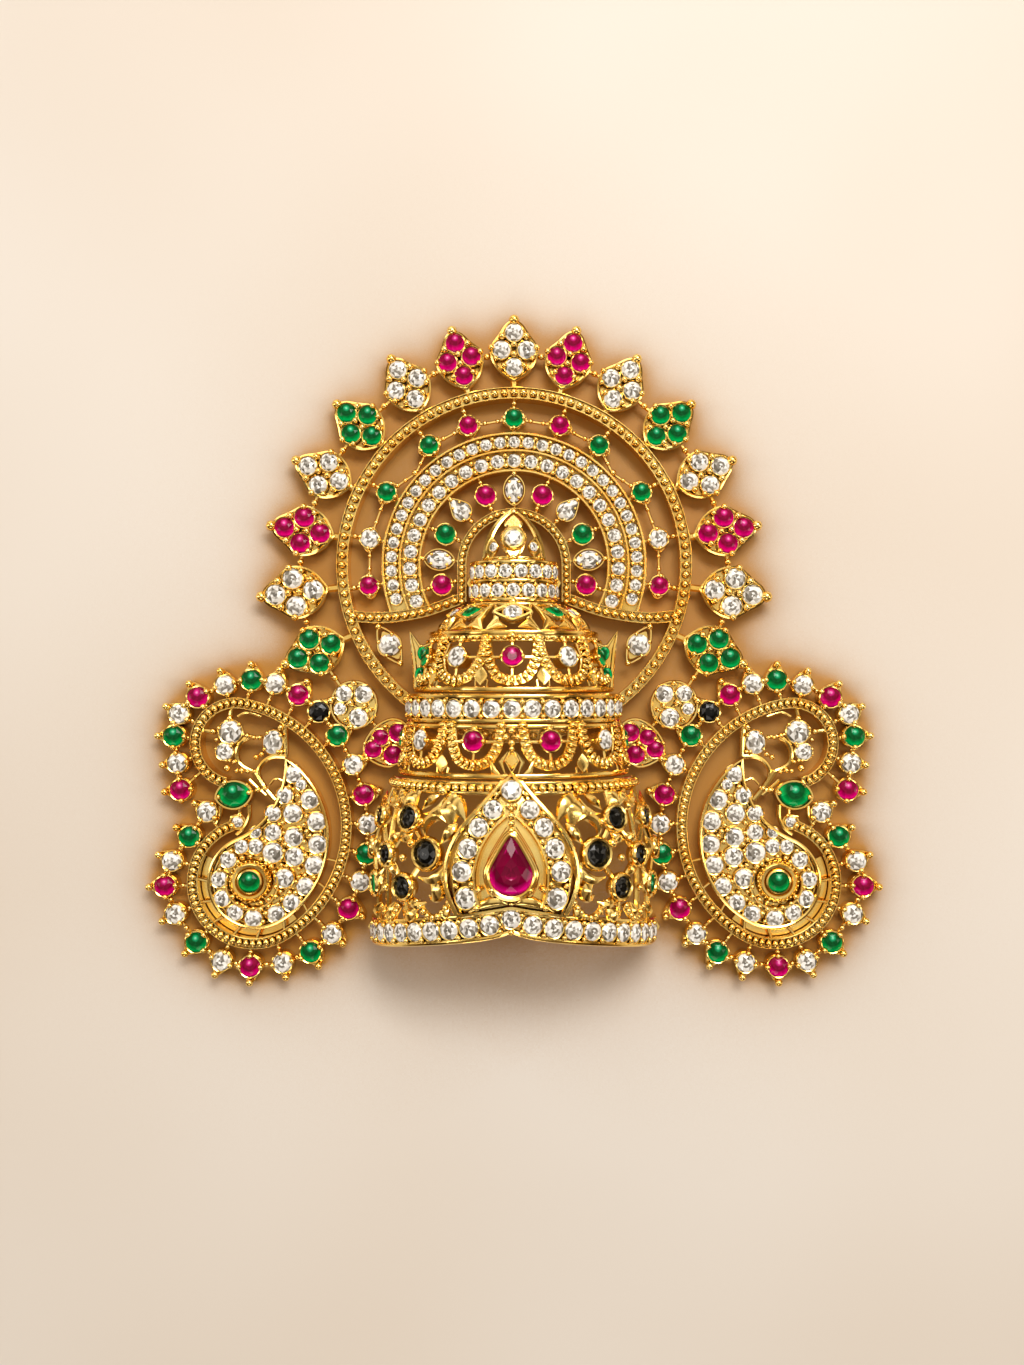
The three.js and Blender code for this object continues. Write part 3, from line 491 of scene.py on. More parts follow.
def makeCut(name, outline, seed, upright=False):
    draw = random.Random(seed)
    bm = bmesh.new()
    girdle, star, table = cutLook["girdle"], cutLook["star"], cutLook["table"]
    for share, z, points in ((1, -girdle, outline), (1, 0, outline), (*star, outline[1::2]),
                             (*table, outline[::2])):
        for x, y in points:
            bm.verts.new((x * share, y * share, z))
    bm.verts.new((0, 0, -cutLook["culet"]))
    bmesh.ops.convex_hull(bm, input=bm.verts)
    bmesh.ops.dissolve_limit(bm, angle_limit=math.radians(1.5), verts=bm.verts, edges=bm.edges)
    top = max(bm.faces, key=lambda f: f.calc_center_median().z)
    bmesh.ops.inset_individual(bm, faces=[top], thickness=table[0] - cutLook["heart"])
    bmesh.ops.poke(bm, faces=[top])
    bmesh.ops.recalc_face_normals(bm, faces=bm.faces)
    paintedFacetLight = bm.faces.layers.float.new("paintedFacetLight")
    spread = bm.loops.layers.uv.new("stoneFace")
    for face in bm.faces:
        middle = face.calc_center_median()
        high = middle.z > table[1] - 0.02
        # Each facet gets a random painted reflection value, dark or bright.
        reach = math.hypot(middle.x, middle.y)
        if middle.z > 0.01:
            tones = facetLightRanges["crown" if not high else "heart" if reach < cutLook["heart"] else "table"]
            face[paintedFacetLight] = draw.choice([draw.uniform(*tone) for tone in tones])
        else:
            face[paintedFacetLight] = draw.uniform(0.1, 0.6)
        for loop in face.loops:
            x, y = loop.vert.co.x, loop.vert.co.y
            across, along = (-y * 0.5, (x + 1) / (reach + 1)) if upright else (x * 0.5, y * 0.5 + 0.5)
            loop[spread].uv = (0.5 + across, along)
    return keepShape(bm, name, smooth=False)


beadShape = makeBead()
ovalOutline = [(x * 1.22, y) for x, y in roundOutline()]
cutShapes = {
    "round": [makeCut("round_cut_%d" % i, roundOutline(), 20 + i) for i in range(6)],
    "pear": [makeCut("pear_cut", dropOutline(1.72), 41, upright=True)],
    "oval": [makeCut("oval_cut_%d" % i, ovalOutline, 51 + i) for i in range(2)],
    "marquise": [makeCut("marquise_cut", almondOutline(), 61)],
}


# A collet: a thin tapered cup whose lip stands just over the girdle of a stone with radius 1.
def makeCollet(name, profile):
    bm = bmesh.new()
    lathe(bm, profile, 16, Matrix())
    return keepShape(bm, name)


collets = {
    "thin": makeCollet("thin_collet", [
        (0.85, -1.5), (1.05, -0.35), (1.12, -0.1), (1.11, 0.06), (1.05, 0.1), (0.97, 0.06), (0.95, -0.2),
        (0.7, -1.5)]),
    "bezel": makeCollet("bezel_collet", [
        (1.1, -1.0), (1.36, -0.5), (1.46, -0.12), (1.4, 0.16), (1.24, 0.34), (1.08, 0.28), (0.97, 0.08),
        (0.95, -0.2), (0.9, -1.0)]),
    "low": makeCollet("low_collet", [
        (1.04, -0.5), (1.1, -0.3), (1.13, -0.1), (1.12, 0.04), (1.06, 0.09), (0.97, 0.05), (0.95, -0.2),
        (0.9, -0.5)]),
}


def setStone(name, kind, place, cut="round"):
    shapes = cutShapes[cut]
    stamp(benches[name + "_" + kind], shapes[roll.randrange(len(shapes))], place)


# A stone with the collet that holds it, which may sit at a turn or a stretch of its own.
def mount(bm, name, kind, place, collet="low", cut="round", seat=None):
    setStone(name, kind, place, cut)
    stamp(bm, collets[collet], place if seat is None else seat)


# Round claws over a stone's edge, at angles in the stone's own plane.
def claws(bm, place, angles, size=0.2, reach=1.02, lift=0.14):
    for angle in angles:
        stamp(bm, beadShape, place @ at((reach * cosine(angle), reach * sine(angle), lift), size))


def bothSides(rows):
    return [(sign * angle, *rest) for angle, *rest in rows for sign in ((1, -1) if angle else (1,))]


print("small shapes made")

# The halo's ring, arch and crossbars.
halo = {
    "y": 14.8, "inner": 27.8, "outer": 29.8, "height": 3.6, "rim": (0.24, 0.6), "beads": 112, "bead": 0.68,
    "beadLift": 0.02, "archInner": 7.95, "archOuter": 9.5, "archHeight": 3.7, "archRim": (0.2, 0.5),
    "archFoot": (8.6, 11.6), "archBead": 0.56, "archPitch": 1.14,
    "bar": [(27.9, 6.3), (22.0, 5.97), (15.3, 6.9), (8.9, 9.1)], "barWidth": 1.9, "barBead": 0.7,
    "barPitch": 1.5,
}


def haloPoint(radius, angle, z=0.0):
    return Vector((radius * sine(angle), halo["y"] + radius * cosine(angle), z))


def haloPath(radius, start, end, steps):
    return [(haloPoint(radius, start + (end - start) * i / steps), flatUp) for i in range(steps + 1)]


ringBench = benches["halo_ring"]
ringMiddle = (halo["inner"] + halo["outer"]) / 2
ringBand = bandProfile(halo["outer"] - halo["inner"], 0, halo["height"], *halo["rim"])
sweep(ringBench, ringBand, haloPath(ringMiddle, 0, 360, 120)[:-1], closed=True)
for i in range(halo["beads"]):
    ball(ringBench, haloPoint(ringMiddle, 360 * i / halo["beads"], halo["height"] + halo["beadLift"]),
         halo["bead"])

archMiddle = (halo["archInner"] + halo["archOuter"]) / 2
archLeg = [(archMiddle, y) for y in halo["archFoot"]]
archPath = [*flatPath(archLeg), *haloPath(archMiddle, 90, -90, 30), *flatPath(sided(-1, reversed(archLeg)))]
sweep(ringBench, bandProfile(halo["archOuter"] - halo["archInner"], 0, halo["archHeight"],
                             *halo["archRim"]), archPath)
beadRun(ringBench, archPath, halo["archBead"], halo["archPitch"], halo["archHeight"] + halo["beadLift"])

for side in (1, -1):
    barPath = flatPath(sided(side, smoothRun(halo["bar"], 6)))
    sweep(ringBench, bandProfile(halo["barWidth"], 0, halo["height"], *halo["rim"]), barPath)
    beadRun(ringBench, barPath[1:-1], halo["barBead"], halo["barPitch"], halo["height"] + halo["beadLift"])

# The arch of white stones: three walls on a bed, with its feet cut slanting on both sides.
pave = {
    "walls": [15.8, 19.15, 22.0], "wall": (0.21, 0, 3.7, (0.11, 0.1)), "bed": 2.3, "bedFoot": 0.2,
    "reach": 121, "cutThrough": (22.0, 6.6), "cutFacing": (-1.0, -6.6), "cutBelow": 12, "girdle": 3.05,
    "bead": 3.4, "beadOut": 0.72,
    "rows": [
        {"radius": 20.6, "stone": 1.0, "pitch": 6.63, "reach": 112, "claw": 0.4},
        {"radius": 17.5, "stone": 1.15, "pitch": 9.2, "reach": 114, "claw": 0.46},
    ],
}
paveBench = benches["pave_channel"]
for radius in pave["walls"]:
    sweep(paveBench, strip(*pave["wall"]), haloPath(radius, -pave["reach"], pave["reach"], 80))
bedMiddle = (pave["walls"][0] + pave["walls"][2]) / 2
bedHalf = (pave["walls"][2] - pave["walls"][0]) / 2
sweep(paveBench, strip(bedHalf, pave["bedFoot"], pave["bed"]),
      haloPath(bedMiddle, -pave["reach"], pave["reach"], 80))
for side in (1, -1):
    half = [v for v in paveBench.verts if v.co.x * side > 0 and v.co.y < pave["cutBelow"]]
    nearby = set(half)
    half += [part for part in [*paveBench.edges, *paveBench.faces] if all(v in nearby for v in part.verts)]
    (x, y), (facingX, facingY) = pave["cutThrough"], pave["cutFacing"]
    facing = Vector((side * facingX, facingY, 0)).normalized()
    bmesh.ops.bisect_plane(paveBench, geom=half, plane_co=(side * x, y, 0), plane_no=facing,
                           clear_outer=True)
    bmesh.ops.holes_fill(paveBench, edges=[e for e in paveBench.edges if e.is_boundary], sides=0)
for row in pave["rows"]:
    count = int(row["reach"] / row["pitch"])
    for i in range(-count, count + 1):
        angle = i * row["pitch"]
        spot = haloPoint(row["radius"], angle, pave["girdle"])
        mount(paveBench, "pave", "white", at(spot, row["stone"], -angle), seat=at(spot, row["stone"]))
        if i < count:
            for offset in (-pave["beadOut"], pave["beadOut"]):
                reach = row["radius"] + offset * row["stone"]
                ball(paveBench, haloPoint(reach, angle + row["pitch"] / 2, pave["bead"]), row["claw"])

# The outer row of stones, strung on a wire in collets drawn out to four points.
outerRow = {
    "radius": 24.6, "stone": 1.6, "girdle": 3.2, "lozenge": (0.98, 0.42, 0.22), "wire": 0.26, "low": 2.4,
    "knot": 0.5, "post": 0.36, "postFrom": 22.0, "postTo": 28.0, "knotAt": 27.1, "dip": (47, 22.6),
    "long": 5,
    "stones": [(0, "emerald"), (18.2, "ruby"), (35.4, "emerald"), (60.3, "emerald"), (79.7, "white"),
               (98.1, "ruby")],
}
stringBench = benches["outer_row"]
low, knot = outerRow["low"], outerRow["knot"]
lozenge = []
for x, y in roundOutline(24):
    inner, along, across = outerRow["lozenge"]
    pull = inner + abs(x) ** 6 * along + abs(y) ** 6 * across
    lozenge.append((pull * x, pull * y))
for angle, kind in bothSides(outerRow["stones"]):
    spot = haloPoint(outerRow["radius"], angle, outerRow["girdle"])
    turned = at(spot, outerRow["stone"], -angle)
    mount(stringBench, "outer_row", kind, at(spot, outerRow["stone"]), "thin", seat=turned)
    plate(stringBench, lozenge, -1.1, -0.45, 0.06, turned)
    claws(stringBench, turned, (0, 180, 90, 270), 0.24)
    post(stringBench, haloPoint(outerRow["postFrom"], angle, low),
         haloPoint(outerRow["postTo"], angle, low), outerRow["post"])
    ball(stringBench, haloPoint(outerRow["knotAt"], angle, low + 0.5), knot)
stops = [(angle, outerRow["radius"]) for angle, kind in outerRow["stones"]]
stops = sorted(bothSides([*stops, outerRow["dip"]]))
for (a, ra), (b, rb) in zip(stops, stops[1:]):
    start, end = haloPoint(ra, a, low), haloPoint(rb, b, low)
    wire(stringBench, [(start.lerp(end, share), flatUp) for share in (0, 0.5, 1)], outerRow["wire"])
    for share in (0.36, 0.64) if (end - start).length > outerRow["long"] else (0.5,):
        ball(stringBench, start.lerp(end, share) + flatUp * 0.2, knot * 0.85)
dipAngle, dipRadius = outerRow["dip"]
for side in (1, -1):
    ball(stringBench, haloPoint(dipRadius + 0.1, side * dipAngle, low + 0.4), knot * 1.2)

# The inner row, between the two arches.
innerRow = {
    "radius": 12.55, "stone": 1.72, "girdle": 3.3, "stem": 0.3, "stemHeight": 2.5, "knot": 0.46,
    "knotHeight": 3.0, "drawn": 0.88,
    "stones": [(0, "white", "marquise"), (22.3, "ruby", "round"), (44.3, "white", "pear"),
               (66, "emerald", "round"), (86, "white", "marquise"), (105.5, "ruby", "round")],
    "rims": {"marquise": almondOutline(1.55, 1.05, 24), "pear": dropOutline(1.72, 0, 24)},
}
innerBench = benches["inner_row"]
for angle, kind, form in bothSides(innerRow["stones"]):
    spot = haloPoint(innerRow["radius"], angle, innerRow["girdle"])
    outward = at(spot, innerRow["stone"], 90 - angle)
    if form == "round":
        mount(innerBench, "inner_row", kind, at(spot, innerRow["stone"]), "thin", seat=outward)
        claws(innerBench, outward, (0, 180))
        ball(innerBench, haloPoint(innerRow["radius"] + 2.35, angle, innerRow["knotHeight"]),
             innerRow["knot"])
    else:
        outward = outward @ Matrix.Scale(innerRow["drawn"], 4)
        setStone("inner_row", kind, outward, form)
        plate(innerBench, innerRow["rims"][form], -1.6, -0.5, 0.08, outward)
        wire(innerBench, rimPath(outward, innerRow["rims"][form], 1.1, 1.12, -0.06), 0.17, closed=True)
        ball(innerBench, outward @ Vector((1.8, 0, 0.05)), innerRow["knot"])
        claws(innerBench, outward, (150, 210, 30, 330))
    stems = [(halo["archOuter"] - 0.2, innerRow["radius"] - 1.5),
             (innerRow["radius"] + 1.5, pave["walls"][0] + 0.1)]
    for start, end in stems[:1] if form == "pear" else stems:
        post(innerBench, haloPoint(start, angle, innerRow["stemHeight"]),
             haloPoint(end, angle, innerRow["stemHeight"]), innerRow["stem"])
    ball(innerBench, haloPoint(halo["archOuter"] + 0.75, angle, innerRow["knotHeight"]), innerRow["knot"])

# The rays round the ring. A claw is its place along the ray, its place across it on both sides, and its size.
ray = {
    "tip": 4.9, "tail": -5.1, "outline": [(4.1, 1.35), (2.5, 2.4), (0.5, 3.75), (-1.5, 3.6), (-3.5, 2.35)],
    "base": 0.2, "face": 2.3, "rim": 0.26, "rimHeight": 3.2, "groupRim": 3.1, "stone": 1.5, "girdle": 3.3,
    "along": 2.9, "across": 2.12, "ball": 0.92, "clawHeight": 3.62, "stem": 0.6, "stemHeight": 2.4,
    "claws": [(0.9, 0, 0.576), (-0.75, 0, 0.576), (2.25, 2.0, 0.624), (0.35, 3.8, 0.552),
              (-1.5, 3.1, 0.504), (-2.7, 1.7, 0.552)],
    "stations": [
        (0, "white", 36.0, 1.0), (14.9, "ruby", 35.6, 0.98), (30.8, "white", 35.2, 0.98),
        (47.8, "emerald", 35.0, 0.99), (64.4, "white", 35.4, 1.0), (80.8, "ruby", 35.9, 1.04),
        (97.2, "white", 37.0, 1.1), (113.4, "emerald", 36.4, 1.04),
    ],
    "lowStations": [(130.8, 36.0), (144.2, 36.0)],
}
rayBench = benches["ray_cups"]
rayEdge = smoothRun([(ray["tip"], 0.35), *ray["outline"], (ray["tail"], 0.0)], 3)[:-1]
rayOutline = [*rayEdge, (ray["tail"], 0.0), *[(x, -y) for x, y in reversed(rayEdge)]]
rayRim = [(-ray["rim"], -1.2), (-ray["rim"], 0), (0, 0.15), (ray["rim"], 0), (ray["rim"], -1.2)]
raySeats = [(ray["along"], 0), (0, ray["across"]), (0, -ray["across"]), (-ray["along"], 0)]
for angle, kind, reach, size in bothSides(ray["stations"]):
    place = at(haloPoint(reach, angle), size, 90 - angle)
    plate(rayBench, rayOutline, ray["base"], ray["face"], 0.1, place)
    sweep(rayBench, rayRim, rimPath(place, rayOutline, 0.99, 0.99, ray["rimHeight"]), closed=True)
    for x, y in raySeats:
        stone = ray["stone"] * size * (1.04 if kind == "white" else 1.1)
        mount(rayBench, "ray", kind, at(place @ Vector((x, y, ray["girdle"])), stone))
    ball(rayBench, place @ Vector((ray["tip"] + 0.2, 0, 3.1)), ray["ball"] * size)
    for x, y, claw in ray["claws"]:
        for across in (y, -y) if y else (0,):
            ball(rayBench, place @ Vector((x, across, ray["clawHeight"])), claw * size)
    foot = haloPoint(reach + ray["tail"] * size + 0.8, angle, ray["stemHeight"])
    post(rayBench, haloPoint(halo["outer"] - 0.3, angle, ray["stemHeight"]), foot, ray["stem"])

# The two low groups on each side: a ring of whites and a knot of rubies.
groups = [
    {"kind": "white", "rim": [(26.85 + 3.85 * x, -8.65 + 3.95 * y) for x, y in roundOutline(28)],
     "stones": [(25.2, -6.8, 1.5), (28.5, -6.75, 1.38), (26.1, -10.8, 1.6), (29.15, -9.3, 1.05)],
     "beads": [(27.4, -8.35, 0.7), (25.0, -8.75, 0.45), (26.8, -5.0, 0.5), (30.3, -7.5, 0.42),
               (24.1, -9.5, 0.42), (28.3, -11.2, 0.45)]},
    {"kind": "ruby",
     "rim": smoothRun([(17.9, -12.4), (20.4, -11.0), (23.4, -12.6), (25.2, -15.6), (24.3, -17.7),
                       (20.8, -19.0), (18.4, -16.6)], closed=True),
     "stones": [(19.4, -13.3, 1.62), (22.4, -14.1, 1.45), (23.6, -16.1, 1.5), (20.3, -17.0, 1.62)],
     "beads": [(20.9, -15.1, 0.62), (18.5, -15.3, 0.45), (23.6, -14.3, 0.42), (25.0, -15.1, 0.36),
               (22.0, -17.7, 0.45), (21.6, -12.3, 0.4), (19.2, -18.7, 0.4)]},
]
for side in (1, -1):
    for group in groups:
        rim = sided(side, group["rim"])
        plate(rayBench, rim, ray["base"], ray["face"], 0.1)
        wire(rayBench, flatPath(rim, ray["groupRim"]), 0.26, closed=True)
        for x, y, radius in group["stones"]:
            mount(rayBench, "ray", group["kind"], at((side * x, y, ray["girdle"]), radius))
        for x, y, radius in group["beads"]:
            ball(rayBench, (side * x, y, 3.4), radius)
# Small balls link each ray to the next.
linked = [(angle, reach) for angle, kind, reach, size in ray["stations"]]
linked = sorted(bothSides(linked + ray["lowStations"]))
for (a, ra), (b, rb) in zip(linked, linked[1:]):
    start, end = haloPoint(ra - 0.2, a, 2.3), haloPoint(rb - 0.2, b, 2.3)
    post(rayBench, start, end, 0.34)
    ball(rayBench, start.lerp(end, 0.5) + flatUp * 0.3, 0.6)
print("halo made")

# The leaf stones below the crossbars.
leaf = {"place": (20.9, 1.4, 3.2), "stone": 1.8, "heading": 59, "tip": 1.75, "tail": 1.75, "wider": 1.12,
        "wire": 0.22}
leafBench = benches["leaf_stone"]
leafPlace = at(leaf["place"], leaf["stone"], leaf["heading"])
setStone("leaf_stone", "white", at(leaf["place"], leaf["stone"]))
leafRim = [(x * leaf["wider"], y * leaf["wider"]) for x, y in dropOutline(leaf["tip"], leaf["tail"], 24)]
plate(leafBench, [(x * 0.8, y * 0.95) for x, y in leafRim], -1.7, -1.0, 0.08, leafPlace)
wire(leafBench, rimPath(leafPlace, leafRim, z=-0.05), leaf["wire"], closed=True)
ball(leafBench, leafPlace @ Vector((leaf["tip"] * 1.14, 0, 0)), 0.6)
ball(leafBench, leafPlace @ Vector((-leaf["tail"] * 1.14, 0, 0)), 0.55)
claws(leafBench, leafPlace, (45, 135, 225, 315))
finishGold("halo_ring", "halo_frame")
finishGold("pave_channel", "pave_arch")
finishStones("pave")
finishGold("outer_row", "outer_stone_string")
finishStones("outer_row")
finishGold("inner_row", *["inner_stone_%d" % (i + 1) for i in range(11)])
finishStones("inner_row")
finishGold("ray_cups", *["ray_%d" % (i + 1) for i in range(19)])
finishStones("ray")
finishGold("leaf_stone", "leaf_stone", pair=True)
finishStones("leaf_stone", pair=True)

# The dome: half an ellipse in plan, springing from a plane over the flat work, tier by tier.
dome = {"spring": 4.8, "flatten": 0.8}
tiers = {
    "finial": {"top": 23.6, "bottom": 15.3, "topRadius": 0.3, "bottomRadius": 5.0, "belly": 1.4},
    "topBand": {"top": 15.0, "bottom": 8.3, "topRadius": 6.8, "bottomRadius": 6.8},
    "collar": {"top": 8.0, "bottom": 3.1, "topRadius": 7.9, "bottomRadius": 12.7},
    "upper": {"top": 2.8, "bottom": -6.5, "topRadius": 13.5, "bottomRadius": 16.2},
    "middle": {"top": -6.8, "bottom": -11.2, "topRadius": 17.2, "bottomRadius": 17.2},
    "lower": {"top": -11.5, "bottom": -20.0, "topRadius": 17.5, "bottomRadius": 18.7},
    "base": {"top": -20.3, "bottom": -43.0, "topRadius": 19.5, "bottomRadius": 22.8, "belly": 1.5},
    "foot": {"top": -43.3, "bottom": -47.6, "topRadius": 23.0, "bottomRadius": 23.0},
}


def radiusAt(tier, y):
    share = min(max((tier["top"] - y) / (tier["top"] - tier["bottom"]), 0), 1)
    bulge = tier.get("belly", 0) * math.sin(math.pi * share ** 0.8)
    return tier["topRadius"] + (tier["bottomRadius"] - tier["topRadius"]) * share + bulge


def domePoint(radius, angle, y):
    return Vector((radius * sine(angle), y, dome["spring"] + dome["flatten"] * radius * cosine(angle)))


# A place on a tier's skin: x runs round the dome, y up and z straight out.
def skinPlace(tier, angle, y, out=0.0, turn=0.0, size=1.0):
    here = domePoint(radiusAt(tier, y), angle, y)
    around = (domePoint(radiusAt(tier, y), angle + 1, y) - here).normalized()
    rise = (domePoint(radiusAt(tier, y + 0.1), angle, y + 0.1) - here).normalized()
    outward = around.cross(rise).normalized()
    place = Matrix((around, outward.cross(around), outward)).transposed().to_4x4()
    return at(here + outward * out) @ place @ at((0, 0, 0), size, turn)


def skinPoint(tier, angle, y, out=0.0):
    place = skinPlace(tier, angle, y, out)
    return place.translation, place.col[2].to_3d()


# Points drawn flat round a place of the skin, and laid on it.
def onSkin(tier, angle, y, points, out=0.0):
    stretch = math.hypot(cosine(angle), dome["flatten"] * sine(angle))
    turns = [math.degrees(u / (radiusAt(tier, y + v) * stretch)) for u, v in points]
    return [skinPoint(tier, angle + turn, y + v, out) for turn, (u, v) in zip(turns, points)]


# Points drawn as they look from the front, x across and y up, and laid on a tier's skin.
def onFront(tier, points, out=0.0):
    turns = [math.degrees(math.asin(max(-0.99, min(0.99, x / radiusAt(tier, y))))) for x, y in points]
    return [skinPoint(tier, turn, y, out) for turn, (x, y) in zip(turns, points)]


def skinBall(bm, tier, angle, y, out, size):
    ball(bm, skinPoint(tier, angle, y, out)[0], size)


def frontBall(bm, tier, x, y, out, size):
    ball(bm, onFront(tier, [(x, y)], out)[0][0], size)


def domeBand(bm, section, steps=72, lift=None):
    band = bmesh.new()
    verts = [band.verts.new((-r, y, 0)) for r, y in section]
    edges = [band.edges.new((verts[i - 1], verts[i])) for i in range(len(verts))]
    bmesh.ops.spin(band, geom=verts + edges, cent=(0, 0, 0), axis=(0, 1, 0), angle=math.pi, steps=steps)
    bmesh.ops.holes_fill(band, edges=[e for e in band.edges if e.is_boundary], sides=0)
    if lift:
        for vert in band.verts:
            vert.co.y += lift(math.degrees(math.atan2(vert.co.x, vert.co.z)))
    pour(bm, band, Matrix.Translation((0, 0, dome["spring"])) @ Matrix.Diagonal((1, 1, dome["flatten"], 1)))


def rail(bm, radius, y, thick=0.4, lift=None, steps=72):
    domeBand(bm, [(radius + x, y + rise) for x, rise in roundOutline(8, thick)], steps, lift)


def bed(bm, radius, low, high, wall=1.0, lift=None):
    domeBand(bm, [(radius - wall, low), (radius, low), (radius, high), (radius - wall, high)], lift=lift)


def beadedRing(bm, radius, y, bead, pitch, reach):
    turns = [-reach + 2 * reach * i / 60 for i in range(61)]
    beadRun(bm, [(domePoint(radius, t, y), Vector((sine(t), 0, cosine(t)))) for t in turns], bead, pitch)


# Small gold leaves, as long as 1 with the stem at the origin and the point along +y.
def makeLeaf(name, width, ridge, hollow=0.0):
    bm = bmesh.new()
    edge = smoothRun([(0, 0), (width * 0.75, 0.28), (width, 0.5), (width * 0.55, 0.8), (0, 1)], 3)[1:-1]
    outline = [(0, 0), *edge, (0, 1), *sided(-1, reversed(edge))]
    face = bm.faces.new([bm.verts.new((x, y, 0)) for x, y in outline])
    raised = bmesh.ops.extrude_face_region(bm, geom=[face])["geom"]
    bmesh.ops.translate(bm, vec=(0, 0, ridge * 0.5), verts=onlyVerts(raised))
    top = [f for f in raised if isinstance(f, bmesh.types.BMFace)]
    bmesh.ops.inset_individual(bm, faces=top, thickness=width * 0.24, depth=ridge * 0.5 - hollow)
    bmesh.ops.recalc_face_normals(bm, faces=bm.faces)
    return keepShape(bm, name)


petalShape = makeLeaf("petal", 0.42, 0.2)
cupLeafShape = makeLeaf("cup_leaf", 0.36, 0.2, 0.12)


def tierStone(name, kind, tier, angle, y, radius, out=0.35, collet="thin",
              clawAngles=(), cut="round", turn=0.0):
    place = skinPlace(tier, angle, y, out, turn, radius)
    stretched = place @ Matrix.Diagonal((1.22 if cut == "oval" else 1, 1, 1, 1))
    mount(benches[name], name, kind, place, collet, cut, stretched)
    claws(benches[name], place, clawAngles, 0.22)


# A row of white stones round a band, with two small balls between each pair.
def bandStones(name, tier, look, lift=None):
    count = int(look["reach"] / look["pitch"])
    for i in range(-count, count + 1):
        angle = i * look["pitch"]
        place = skinPlace(tier, angle, look["y"], 0.35, 0, look["stone"])
        place.translation.y += lift(angle) if lift else 0
        mount(benches[name], name, "white", place)
        if i < count:
            angle += look["pitch"] / 2
            for up in (-0.82, 0.82):
                spot = skinPoint(tier, angle, look["y"] + up * look["stone"], 0.6)[0]
                spot.y += lift(angle) if lift else 0
                ball(benches[name], spot, 0.42)


# The finial: ribs that meet at the top, round a stone between two leaves.
finial = {"stone": 1.5, "stoneY": 18.4, "ribs": ((90, 0.5), (60, 0.34)), "flank": 42, "flankStone": 0.8,
          "flankY": 17.3, "scroll": [(0.4, 0), (1.3, 1.2), (1.9, 3.0)]}
tier = tiers["finial"]
finialBench = benches["finial"]
for side in (1, -1):
    for spreadTo, thick in finial["ribs"]:
        heights = [tier["bottom"] + (tier["top"] - tier["bottom"]) * i / 14 for i in range(15)]
        wire(finialBench, [skinPoint(tier, side * spreadTo, y, -0.1) for y in heights], thick)
    tierStone("finial", "white", tier, side * finial["flank"], finial["flankY"], finial["flankStone"], 0.3,
              "low")
    stamp(finialBench, cupLeafShape, skinPlace(tier, side * finial["flank"], 15.5, -0.1, side * -8, 3.6))
    wire(finialBench, onSkin(tier, 0, 15.4, sided(side, finial["scroll"]), 0.2), 0.3)
tierStone("finial", "white", tier, 0, finial["stoneY"], finial["stone"], 1.0, "bezel")
stamp(finialBench, petalShape, skinPlace(tier, 0, finial["stoneY"] + 0.9, 0.2, 0, 3.6))
stamp(finialBench, petalShape, skinPlace(tier, 0, finial["stoneY"] - 0.6, 0.2, 180, 3.0))
ball(finialBench, domePoint(0.2, 0, tier["top"] - 0.2) + Vector((0, 0, 0.2)), 0.62)
ball(finialBench, domePoint(radiusAt(tier, 15.6) + 0.5, 0, 15.5), 0.7)
rail(finialBench, radiusAt(tier, 15.4) - 0.1, 15.45, 0.4, steps=36)
finishGold("finial", "finial")
finishStones("finial")

# The top band, with two rows of stones set between each other.
topBand = {"rails": [14.7, 11.65, 8.6], "rows": [(13.2, 0.5), (10.1, 0)], "stone": 1.14, "pitch": 20.5,
           "rib": 1.0, "ribY": 11.6}
tier = tiers["topBand"]
topBench = benches["top_band"]
bed(topBench, tier["topRadius"] - 0.1, tier["bottom"], tier["top"])
for y in topBand["rails"]:
    rail(topBench, tier["topRadius"] + 0.25, y, 0.36, steps=48)
for y, shift in topBand["rows"]:
    for angle in [(i + shift) * topBand["pitch"] for i in range(-4, 5)]:
        if abs(angle) < 90:
            tierStone("top_band", "white", tier, angle, y, topBand["stone"], 0.35, "low")
            for up in (-0.95, 0.95):
                skinBall(topBench, tier, angle + topBand["pitch"] / 2, y + up, 0.4, 0.36)
for x in (tier["topRadius"], -tier["topRadius"]):
    post(topBench, (x, topBand["ribY"], 0.2), (x, topBand["ribY"], dome["spring"] + 0.5), topBand["rib"])
finishGold("top_band", "top_band")
finishStones("top_band")

# The collar: eyes of stone between pairs of petals, over a beaded flange.
collar = {
    "eyeY": 5.9, "eyes": [(0, "white", 1.55), (41, "emerald", 1.25), (67, "white", 1.0)],
    "rim": dropOutline(1.95, 1.95, 24), "petals": [-82, -55, -21, 21, 55, 82], "petalY": 3.2,
    "petal": [(0.75, [(0.2, 0.0), (1.5, 1.5), (1.0, 3.1), (0, 4.5)]),
              (0.95, [(0.4, 0.1), (2.0, 0.9), (3.5, 0.5)])],
}
tier = tiers["collar"]
collarBench = benches["collar"]
for angle, kind, radius in bothSides(collar["eyes"]):
    turn = math.copysign(12, -angle) if angle else 0
    place = skinPlace(tier, angle, collar["eyeY"], 0.75, turn, radius)
    mount(collarBench, "collar", kind, place, cut="oval" if angle else "round")
    wire(collarBench, rimPath(place, collar["rim"], 0.98, 1.08), 0.34, closed=True)
    plate(collarBench, collar["rim"], -0.7, -0.3, 0.05, place)
    claws(collarBench, place, (60, 120, 240, 300))
for angle in collar["petals"]:
    for side in (1, -1):
        for width, drawn in collar["petal"]:
            blade(collarBench, onSkin(tier, angle, collar["petalY"], sided(side, drawn), 0.3), width, 0.7)
rail(collarBench, tier["topRadius"] - 0.2, 7.75, 0.36, steps=48)
bed(collarBench, 13.4, 1.9, 3.0, 1.6)
rail(collarBench, 13.6, 3.0, 0.5)
rail(collarBench, 13.4, 1.8, 0.25)
beadedRing(collarBench, 13.6, 2.25, 0.5, 1.15, 80)
